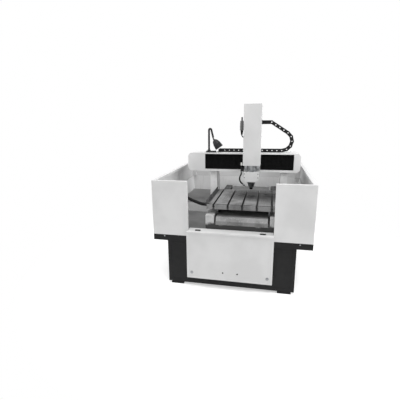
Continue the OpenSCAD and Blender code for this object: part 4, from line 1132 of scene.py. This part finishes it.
@dataclass
class Gantry:
    """The two columns, the covered beam, its end caps, the cross drive and the bellows in front of it."""

    window_x: tuple[float, float] = (-346.0, 520.0)
    saddle_x: tuple[float, float] = (52.5, 203.5)
    window_z: tuple[float, float] = (917.0, 1063.0)
    cloth_y: float = -6.6
    fold_depth: float = 14.0
    fold_pitch: float = 12.0
    cloth_t: float = 1.0
    hem: float = 5.0
    cap_x: tuple[float, float] = (-348.0, 522.0)
    cap_screw_z: tuple[float, ...] = (905.0, 985.0, 1066.0)
    cover_back_y: float = 190.0
    foot_bolt_dx: float = 32.0
    foot_bolt_y: tuple[float, float] = (63.0, 188.0)
    foot_top_z: float = 570.0

    def dress(self, nodes: dict[str, bpy.types.Object]) -> None:
        """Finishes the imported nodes."""
        dress(nodes, Coat.COLUMN, ["column_left", "column_right"], 2.0)
        dress(nodes, Coat.CASTING, ["beam"], 1.5)
        dress(nodes, Coat.CAPS, ["beam_cover", "end_cap_left", "end_cap_right"], 1.2)
        dress(nodes, Coat.RAIL_X, ["x_rails"], 0.5)
        dress(nodes, Coat.SCREW_X, ["x_ballscrew"])
        dress(nodes, Coat.BLACK_STEEL, ["x_bearing_blocks"], 0.6)
        dress(nodes, Coat.MOTOR, ["x_motor"], 0.8)

    def bellows(self, name: str, node: str, fixed_x: float, moving_x: float) -> bpy.types.Object:
        """One pleated bellows.

        Args:
            name: The piece's name.
            node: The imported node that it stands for.
            fixed_x: Its end on the beam.
            moving_x: Its end on the saddle.

        Returns:
            The piece, reaching from the beam to the saddle.
        """
        span = moving_x - fixed_x
        folds = round(abs(span) / self.fold_pitch)
        per_fold = 10
        levels = [
            (self.window_z[0], 0.0), (self.window_z[0] + 0.4, 0.35), (self.window_z[0] + self.hem, 0.35),
            (self.window_z[0] + self.hem + 0.4, 0.0), (self.window_z[1] - self.hem - 0.4, 0.0),
            (self.window_z[1] - self.hem, 0.35), (self.window_z[1] - 0.4, 0.35), (self.window_z[1], 0.0),
        ]
        sharp = 0.97
        count = folds * per_fold
        outline = []
        for k in range(count + 1):
            wave = math.asin(sharp * math.cos(2 * math.pi * k / per_fold)) / math.asin(sharp)
            outline.append((fixed_x + span * k / count, self.cloth_y + self.fold_depth * (0.5 - 0.5 * wave)))
        rings = []
        for z, thick in levels:
            front = [(x, y - thick * 0.3, z) for x, y in outline]
            back = [(x, y + self.cloth_t + thick * 0.3, z) for x, y in reversed(outline)]
            rings.append(front + back)
        draft = Draft().loops(rings, tag=lambda p: (p.x - fixed_x) / span)
        piece = draft.finish(name, Coat.CLOTH, 50)
        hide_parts(node)
        bend_between(piece, draft.tags)
        return piece

    def end_strip(self, name: str, x: float, body: Body) -> bpy.types.Object:
        """A folded metal strip that clamps one end of a bellows."""
        draft = Draft()
        z0, z1 = self.window_z
        low = (x - 1.5, self.cloth_y - 0.9, z0 + 0.5)
        high = (x + 1.5, self.cloth_y + self.fold_depth, z1 - 0.5)
        draft.block(low, high, chamfer=0.4)
        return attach(draft.finish(name, Coat.BLACK_STEEL), body.value)

    def cap_screws(self) -> bpy.types.Object:
        """Button screws that hold the end caps and the cover to the beam."""
        draft = Draft()
        left, right = self.cap_x
        for z in self.cap_screw_z:
            for x in (left - 14, right + 14):
                button_screw(draft, at(x, self.cover_back_y, z, Axis.Y.turn(1)), 5)
        for x in (left + 30, left + 235, 87, right - 235, right - 30):
            button_screw(draft, at(x, 176, 1078, Axis.Z.turn(1)), 5)
            button_screw(draft, at(x, self.cover_back_y, 1062, Axis.Y.turn(1)), 5)
        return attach(draft.finish("cover_screws", Coat.RAIL_Z), Body.FRAME.value)

    def column_bolts(self) -> bpy.types.Object:
        """Cap screws in the holes of the columns' feet."""
        draft = Draft()
        for name in ("column_left", "column_right"):
            low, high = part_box(name)
            middle = (low.x + high.x) / 2 / MM
            for x in (middle - self.foot_bolt_dx, middle + self.foot_bolt_dx):
                for y in self.foot_bolt_y:
                    cap_screw(draft, at(x, y, self.foot_top_z, Axis.Z.turn(1)), 8)
        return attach(draft.finish("column_bolts", Coat.BLACK_STEEL), Body.FRAME.value)

    def build(self, nodes: dict[str, bpy.types.Object]) -> None:
        """Dresses the nodes and adds the bellows and the fasteners."""
        self.dress(nodes)
        pieces = [
            self.bellows("bellows_pleated_left", "bellows_left", self.window_x[0], self.saddle_x[0]),
            self.bellows("bellows_pleated_right", "bellows_right", self.window_x[1], self.saddle_x[1]),
            self.end_strip("bellows_strip_left", self.window_x[0] + 2, Body.FRAME),
            self.end_strip("bellows_strip_right", self.window_x[1] - 2, Body.FRAME),
            self.cap_screws(),
            self.column_bolts(),
        ]
        for piece in pieces:
            LOG.info("piece %s", piece.name)


# ---------- Cable chain ----------


@dataclass
class CableChain:
    """The energy chain: a run along the beam, one bend, and a rising run to the head, with its cables."""

    pitch: float = 47.0
    height: float = 36.0
    width: float = 38.0
    plate: float = 3.0
    hole: float = 12.0
    run_links: int = 13
    arc_links: int = 5
    top_links: int = 4
    slope_deg: float = 33.0
    bend_x: float = 404.0
    y: float = 95.0
    z: float = 1095.8
    cable_d: float = 6.0

    def hinges(self) -> list[Vector]:
        """The centres of the hinges, from the fixed end to the head."""
        turn = math.radians(180 - self.slope_deg) / self.arc_links
        radius = self.pitch / (2 * math.sin(turn / 2))
        slope = math.radians(self.slope_deg)
        start = self.bend_x - self.run_links * self.pitch
        points = [Vector((start + i * self.pitch, self.y, self.z)) for i in range(self.run_links + 1)]
        for i in range(1, self.arc_links + 1):
            a = -math.pi / 2 + turn * i
            x, z = self.bend_x + radius * math.cos(a), self.z + radius + radius * math.sin(a)
            points.append(Vector((x, self.y, z)))
        along = Vector((-math.cos(slope), 0, math.sin(slope)))
        points += [points[-1] + along * self.pitch * (i + 1) for i in range(self.top_links)]
        return points

    def share(self, hinge: float) -> float:
        """How far a hinge follows the head: the bend rolls half as far as the head travels.

        The bend keeps its shape. The straight links before and after it change length as the head moves,
        which real ones don't, because the blend can't hand links from one side of the bend to the other.
        """
        a, b = self.run_links, self.run_links + self.arc_links
        if hinge <= a:
            return 0.5 * max(0.0, hinge) / a
        return 0.5 if hinge <= b else 0.5 + 0.5 * (hinge - b) / self.top_links

    def link(self, draft: Draft, place: Matrix, index: int) -> None:
        """Adds one link between two hinges, its own +X along the chain.

        Args:
            draft: The draft that gets it.
            place: Its first hinge.
            index: Its number from the fixed end; the odd ones nest inside their neighbours.
        """
        inner = index % 2 == 1
        out = self.width / 2 - (self.plate + 0.3 if inner else 0)
        r = self.height / 2 - 0.5
        h, t = self.hole / 2, self.plate
        middle, half = self.pitch / 2, self.height / 2 - 1.4
        eye = [
            (h, 0), (h + 0.6, 0), (r - 0.8, 0), (r, 0.7), (r, t - 0.7), (r - 0.8, t),
            (h + 2.6, t), (h + 2.0, t - 0.6), (h + 0.6, t - 0.6), (h, t - 0.9),
        ]

        def share_at(p: Vector) -> float:
            """The share of a point of this link, by its place along it."""
            return self.share(index + min(1.0, max(0.0, p.x / self.pitch)))

        def sided(low: float, high: float, s: int) -> tuple[float, float]:
            """A span across the chain, mirrored where s is -1."""
            return (low, high) if s > 0 else (-high, -low)

        for s in (-1, 1):
            for x in (0.0, self.pitch):
                hub = Matrix.Translation((x, out - t if s > 0 else -out, 0)) @ Axis.Y.turn()
                share = share_at(Vector((x, 0, 0)))
                rings = [ring_of(radius, z, 28) for radius, z in eye]
                draft.loops(rings, place @ hub, round_trip=True, tag=lambda _p, share=share: share)
            y0, y1 = sided(out - t + 0.35, out - 0.35, s)
            draft.block((h + 1.5, y0, -half), (self.pitch - h - 1.5, y1, half), place, 0.6, share_at)
            # A raised rib on the plate's outside, as such links are moulded.
            y0, y1 = sided(out - 0.36, out + 0.25, s)
            draft.block((middle - 3, y0, -half + 2), (middle + 3, y1, half - 2), place, 0.25, share_at)
        for s in (-1, 1):
            z0 = s * (self.height / 2 - 5) - 1.6
            draft.block((middle - 7, -out + 1, z0), (middle + 7, out - 1, z0 + 3.2), place, 0.7, share_at)

    def chain(self) -> bpy.types.Object:
        """All the links and the fixed end's shoe as one piece, bent between the beam and the head."""
        draft = Draft()
        hinges = self.hinges()
        for i, (a, b) in enumerate(zip(hinges, hinges[1:])):
            ahead = (b - a).normalized()
            up = Vector((0, 1, 0)).cross(ahead) * -1
            turn = Matrix((ahead, Vector((0, 1, 0)), up)).transposed().to_4x4()
            self.link(draft, Matrix.Translation(a) @ turn, i)
        x, y, foot = hinges[0].x, self.y, self.z - self.height / 2 + 0.5
        draft.block((x - 30, y - 13, foot), (x + 6, y + 13, foot + 3), chamfer=0.5)
        for s in (-1, 1):
            y0 = y + s * 11.4
            draft.block((x - 9, y0 - 1.5, foot + 1), (x + 7, y0 + 1.5, self.z + 9), chamfer=0.6)
            cap_screw(draft, at(x - 20, y + s * 7, foot + 3), 4)
        piece = draft.finish("cable_chain_links", Coat.NYLON, 35)
        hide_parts("cable_chain")
        bend_between(piece, draft.tags)
        return piece

    def cables(self) -> bpy.types.Object:
        """Four cables that lie in the chain above and below the line of its hinges."""
        hinges = self.hinges()
        draft = Draft()
        steps = 6
        for across, lift in ((-8, 8.5), (7, 8.5), (-6, -8.5), (8, -8.5)):
            path = []
            for i in range(len(hinges)):
                before = hinges[max(i - 1, 0)]
                after = hinges[min(i + 1, len(hinges) - 1)]
                ahead = (after - before).normalized()
                path.append(hinges[i] + Vector((0, across, 0)) + ahead.cross(Vector((0, 1, 0))) * lift)
            fine = smooth_path(path, steps)
            start = len(draft.tags)
            draft.swept(fine, lambda _l: self.cable_d / 2, 10)
            draft.tags[start:] = [self.share(i / steps) for i in range(len(fine)) for _k in range(10)]
        piece = draft.finish("chain_cables", Coat.CABLE_JACKET, 60)
        bend_between(piece, draft.tags)
        return piece

    def build(self, nodes: dict[str, bpy.types.Object]) -> None:
        """Makes the chain and its cables, and dresses the bracket at the head."""
        dress(nodes, Coat.NYLON, ["chain_bracket"], 1.2)
        for piece in (self.chain(), self.cables()):
            LOG.info("piece %s", piece.name)


# ---------- Work lamp ----------


@dataclass
class WorkLamp:
    """The gooseneck lamp on the beam's left end."""

    stem: tuple[float, float] = (-312.0, 32.0)
    neck_z0: float = 1118.0
    crown: Point = (-300.0, 32.0, 1298.0)
    crown_r: float = 12.0
    joint: Point = (-268.0, 32.0, 1214.0)
    neck_d: float = 20.0
    base_top: float = 1093.6
    foot_screw_x: tuple[float, float] = (-330.0, -250.0)

    def neck(self) -> bpy.types.Object:
        """The gooseneck: a steel strip wound into a ribbed hose."""
        points = [(self.stem[0], self.stem[1], z) for z in (self.neck_z0, 1160, 1210, 1260)]
        cx, cy, cz = self.crown
        for a in range(180, 11, -24):
            t = math.radians(a)
            points.append((cx + self.crown_r * math.cos(t), cy, cz + self.crown_r * math.sin(t)))
        jx, jy, jz = self.joint
        points += [(jx - 4, jy, jz + 22), (jx, jy, jz + 8)]
        rib = 3.6
        path = resample(smooth_path(points, 8), rib / 6)

        def wound(length: float) -> float:
            """The neck's radius at a length along it."""
            return self.neck_d / 2 - 0.7 + 0.7 * abs(math.sin(math.pi * length / rib))

        draft = Draft().swept(path, wound, 20)
        piece = draft.finish("gooseneck", Coat.LAMP_BLACK, 80)
        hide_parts("lamp_neck")
        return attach(piece, Body.FRAME.value)

    def base_screws(self) -> bpy.types.Object:
        """Two screws through the lamp's foot."""
        draft = Draft()
        for x in self.foot_screw_x:
            button_screw(draft, at(x, self.stem[1], self.base_top), 6)
        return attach(draft.finish("lamp_foot_screws", Coat.RAIL_Z), Body.FRAME.value)

    def build(self, nodes: dict[str, bpy.types.Object]) -> None:
        """Dresses the nodes and adds the neck and the screws."""
        dress(nodes, Coat.LAMP_BLACK, ["lamp_base"], 1.0)
        dress(nodes, Coat.LAMP_SHADE, ["lamp_shade"], 0.5)
        dress(nodes, Coat.BULB, ["lamp_bulb"])
        for piece in (self.neck(), self.base_screws()):
            LOG.info("piece %s", piece.name)


# ---------- Head ----------


@dataclass
class Head:
    """The covered head on the cross saddle, the spindle on its slide, and the coolant and signal fittings."""

    x: float = 128.0
    cover_half: float = 79.0
    cover_back_y: float = -14.0
    cover_screw_z: tuple[float, ...] = (1000.0, 1120.0, 1240.0, 1440.0, 1512.0)
    clamp_front: float = -171.0
    clamp_bolt_z: tuple[float, float] = (862.0, 897.0)
    clamp_bolt_x: float = 63.0
    hose_top: Point = (33.0, -125.0, 917.5)
    hose_way: tuple[Point, ...] = (
        (0, 0, 0), (0, 0, -14), (-2, 0, -28.5), (-7, 0, -41.5), (-12.5, 0, -54.5), (-15.5, 0, -68.5),
        (-15.5, 0.5, -82.5), (-12, 1, -96), (-5, 2, -108.5), (4.5, 3, -119), (15.5, 3.5, -128),
        (27, 4, -136.5),
    )
    hose_d: float = 14.0
    plug: Point = (23.0, -60.0, 1296.0)
    lead_way: tuple[Point, ...] = (
        (0, 0, -0.5), (0, 0, -12), (0, 0, -24), (0, 0, -36), (1, 0, -46), (5, 0, -55), (12, 0, -62),
        (20, 0, -65.2), (25.4, 0, -65.5),
    )
    lead_d: float = 10.0

    def dress(self, nodes: dict[str, bpy.types.Object]) -> None:
        """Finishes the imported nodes."""
        dress(nodes, Coat.PANEL, ["head_cover"], 1.2)
        dress(nodes, Coat.CASTING, ["x_saddle"], 1.0)
        dress(nodes, Coat.CLAMP, ["spindle_clamps"], 1.5)
        dress(nodes, Coat.RAIL_X, ["x_carriages"], 0.5)
        dress(nodes, Coat.RAIL_Z, ["z_rails", "z_carriages", "z_slide"], 0.5)
        dress(nodes, Coat.SCREW_Z, ["z_ballscrew"])
        dress(nodes, Coat.SPINDLE, ["spindle_body", "x_nut", "z_nut"])
        dress(nodes, Coat.SHAFT, ["spindle_shaft", "engraving_bit"])
        dress(nodes, Coat.BLACK_STEEL, ["collet_nut", "z_bearing_blocks", "coolant_manifold"], 0.5)
        dress(nodes, Coat.MOTOR, ["z_motor"], 0.8)
        dress(nodes, Coat.CONNECTOR, ["head_connector"])
        dress(nodes, Coat.KNOB, ["coolant_valve_lever"], 0.8)

    def coolant(self) -> list[bpy.types.Object]:
        """The hose, its clamp and its nozzle."""
        route = [Vector(self.hose_top) + Vector(p) for p in self.hose_way]
        path = smooth_path(route, 8)
        r = self.hose_d / 2
        hose = Draft().swept(path, lambda _l: r, 20).finish("coolant_hose_silicone", Coat.RUBBER, 60)
        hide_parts("coolant_hose")
        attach(hose, Body.SLIDE.value)
        sleeve = [
            (r + 0.1, -12), (r + 1.8, -11.4), (r + 1.8, -3.4),
            (r + 2.6, -3), (r + 2.6, 0.4), (r + 0.1, 0.4),
        ]
        top = Draft().turned(sleeve, at(*path[0]), 24).finish("coolant_hose_ferrule", Coat.SPINDLE)
        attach(top, Body.SLIDE.value)
        ahead = (path[-1] - path[-2]).normalized()
        turn = ahead.to_track_quat("Z", "Y").to_matrix().to_4x4()
        collar = [(r + 0.2, -14), (r + 1.4, -13.2), (r + 1.4, -1), (r + 0.6, 0.5), (r + 0.6, 3)]
        tip = [(3.4, 14), (2.6, 22), (1.6, 22), (1.6, 12)]
        place = Matrix.Translation(path[-1]) @ turn
        nozzle = Draft().turned(collar + tip, place, 24).finish("coolant_nozzle", Coat.SHAFT)
        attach(nozzle, Body.SLIDE.value)
        return [hose, top, nozzle]

    def lead(self) -> list[bpy.types.Object]:
        """The short lead from the connector back into the cover, with its relief sleeve and gland."""
        route = [Vector(self.plug) + Vector(p) for p in self.lead_way]
        path = smooth_path(route, 8)
        r = self.lead_d / 2
        lead = Draft().swept(path, lambda _l: r, 18).finish("connector_lead_rubber", Coat.RUBBER, 60)
        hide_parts("connector_lead")
        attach(lead, Body.SADDLE.value)
        rings = [(15.0 - 0.16 * z - (1.4 if z % 6 > 2 else 0.0), -float(z)) for z in range(1, 44)]
        sleeve = [(r + 0.1, -0.4), *rings, (r + 0.1, -44)]
        relief = Draft().turned(sleeve, at(*self.plug), 24).finish("lead_relief", Coat.RUBBER)
        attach(relief, Body.SADDLE.value)
        nut = [(r + 0.1, -9), (r + 2, -8.4), (r + 3.4, -5, HEXAGON), (r + 3.4, 0.2, HEXAGON)]
        gland = Draft().turned(nut, at(*path[-1], Axis.X.turn(1)), 24).finish("lead_gland", Coat.NYLON)
        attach(gland, Body.SADDLE.value)
        return [lead, relief, gland]

    def clamp_bolts(self) -> bpy.types.Object:
        """Cap screws sunk in the front of the spindle clamp."""
        draft = Draft()
        for s in (-1, 1):
            x = self.x + s * self.clamp_bolt_x
            for z in self.clamp_bolt_z:
                cap_screw(draft, at(x, self.clamp_front + 7.9, z, Axis.Y.turn(-1)), 5.4)
        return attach(draft.finish("clamp_bolts", Coat.BLACK_STEEL), Body.SLIDE.value)

    def cover_screws(self) -> bpy.types.Object:
        """Button screws down both sides of the head cover, near its back edge."""
        draft = Draft()
        for s in (-1, 1):
            x = self.x + s * self.cover_half
            for z in self.cover_screw_z:
                button_screw(draft, at(x, self.cover_back_y - 10, z, Axis.X.turn(s)), 4)
        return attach(draft.finish("head_cover_screws", Coat.RAIL_Z), Body.SADDLE.value)

    def build(self, nodes: dict[str, bpy.types.Object]) -> None:
        """Makes the hose and the lead, dresses the nodes and adds the fasteners."""
        pieces = [*self.coolant(), *self.lead()]
        self.dress(nodes)
        pieces += [self.clamp_bolts(), self.cover_screws()]
        for piece in pieces:
            LOG.info("piece %s", piece.name)


# ---------- Studio ----------


@dataclass(frozen=True)
class Softbox:
    """One area lamp."""

    name: str
    place: Point
    target: Point
    size: tuple[float, float]
    watts: float

    def build(self) -> None:
        """Adds the lamp, in metres, facing its target."""
        light = bpy.data.lights.new(self.name, "AREA")
        light.shape = "RECTANGLE"
        light.size, light.size_y = self.size
        light.energy = self.watts
        lamp = bpy.data.objects.new(self.name, light)
        lamp.location = self.place
        lamp.rotation_euler = (Vector(self.target) - Vector(self.place)).to_track_quat("-Z", "Y").to_euler()
        bpy.context.scene.collection.objects.link(lamp)


@dataclass
class Studio:
    """Camera, lamps, world and the pale floor."""

    eye: Point = (0.2947, -3.0984, 1.3702)
    yaw_deg: float = 12.717
    pitch_deg: float = 13.936
    roll_deg: float = -0.611
    lens_mm: float = 28.03
    sensor_mm: float = 36.0
    world_grey: str = "#e6e6e6"
    world_strength: float = 0.66
    floor_half: float = 9.0
    floor_grey: str = "#dcdcdc"
    floor_glow: float = 0.45
    shadow_m: tuple[float, float] = (1.0, 2.1)

    def camera(self) -> None:
        """Sets up the camera, which looks down and to the left over the machine's right front corner."""
        data = bpy.data.cameras.new("camera")
        data.lens = self.lens_mm
        data.sensor_width = self.sensor_mm
        data.clip_end = 100.0
        camera = bpy.data.objects.new("camera", data)
        yaw, pitch, roll = (math.radians(a) for a in (self.yaw_deg, self.pitch_deg, self.roll_deg))
        aim = Matrix.Rotation(yaw, 4, "Z") @ Matrix.Rotation(math.pi / 2 - pitch, 4, "X")
        aim = aim @ Matrix.Rotation(roll, 4, "Z")
        camera.matrix_world = Matrix.Translation(self.eye) @ aim
        bpy.context.scene.collection.objects.link(camera)
        bpy.context.scene.camera = camera

    def lamps(self) -> None:
        """A large light over the front, a soft one on either side, and two from the sides for the well."""
        middle = (0.05, 0.0, 0.8)
        Softbox("key", (3.4, -5.2, 3.0), middle, (3.4, 3.0), 30).build()
        Softbox("fill", (-3.4, -5.4, 3.1), middle, (3.2, 3.2), 22).build()
        Softbox("top", (0.2, -2.2, 6.2), middle, (4.0, 3.4), 195).build()
        Softbox("well_left", (-3.6, -0.7, 2.4), (0.5, 0.1, 0.75), (1.4, 1.0), 55).build()
        Softbox("well_right", (4.5, -0.8, 2.6), (-0.6, -0.1, 0.75), (1.8, 1.2), 150).build()

    def world(self) -> None:
        """Soft light from all round; what the camera sees behind the machine is white."""
        world = bpy.data.worlds.new("studio")
        bpy.context.scene.world = world
        world.use_nodes = True
        tree = world.node_tree
        tree.nodes.clear()
        around = {"Color": srgb(self.world_grey), "Strength": self.world_strength}
        soft = add_node(tree, "ShaderNodeBackground", around)
        white = add_node(tree, "ShaderNodeBackground", {"Color": (1, 1, 1, 1), "Strength": 1.0})
        choice = {0: seen_as_backdrop(tree), 1: soft.outputs[0], 2: white.outputs[0]}
        mix = add_node(tree, "ShaderNodeMixShader", choice)
        add_node(tree, "ShaderNodeOutputWorld", {"Surface": mix.outputs[0]})

    def floor(self) -> None:
        """A pale, matt floor that keeps the machine's shadow and otherwise fades into the background."""
        mesh = bpy.data.meshes.new("studio_floor")
        h = self.floor_half
        mesh.from_pydata([(-h, -h, 0), (h, -h, 0), (h, h, 0), (-h, h, 0)], [], [(0, 1, 2, 3)])
        floor = bpy.data.objects.new("studio_floor", mesh)
        bpy.context.scene.collection.objects.link(floor)
        material = bpy.data.materials.new("matt_paper_floor")
        material.use_nodes = True
        tree = material.node_tree
        tree.nodes.clear()
        place = add_node(tree, "ShaderNodeTexCoord").outputs["Object"]
        away = add_node(tree, "ShaderNodeVectorMath", {0: place}, operation="LENGTH").outputs["Value"]
        near, far = self.shadow_m
        limits = {"Value": away, "From Min": near, "From Max": far}
        fade = add_node(tree, "ShaderNodeMapRange", limits, interpolation_type="SMOOTHSTEP").outputs[0]
        matt = add_node(tree, "ShaderNodeBsdfDiffuse", {"Color": srgb(self.floor_grey)})
        glow = add_node(tree, "ShaderNodeEmission", {"Color": (1, 1, 1, 1), "Strength": self.floor_glow})
        white = add_node(tree, "ShaderNodeEmission", {"Color": (1, 1, 1, 1), "Strength": 1.0})
        lit = add_node(tree, "ShaderNodeAddShader", {0: matt.outputs[0], 1: glow.outputs[0]})
        shown = add_node(tree, "ShaderNodeMixShader", {0: fade, 1: lit.outputs[0], 2: white.outputs[0]})
        choice = {0: seen_as_backdrop(tree), 1: matt.outputs[0], 2: shown.outputs[0]}
        mix = add_node(tree, "ShaderNodeMixShader", choice)
        add_node(tree, "ShaderNodeOutputMaterial", {"Surface": mix.outputs[0]})
        mesh.materials.append(material)

    def build(self) -> None:
        """Adds everything that isn't the machine."""
        self.camera()
        self.lamps()
        self.world()
        self.floor()
        bpy.context.scene.view_settings.view_transform = "Standard"


def main() -> None:
    """Builds the looks in order: camera and hoses first, then the rest."""
    logging.basicConfig(level=logging.INFO, format="%(message)s")
    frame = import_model()
    nodes = frame["nodes"]
    studio = Studio()
    studio.build()
    for part in (TableDrive(), Head(), Enclosure(), Gantry(), CableChain(), WorkLamp()):
        part.build(nodes)
        LOG.info("built %s", type(part).__name__)
    bpy.context.view_layer.update()


if __name__ == "__main__":
    for leftover in list(bpy.data.objects):
        bpy.data.objects.remove(leftover)
    main()
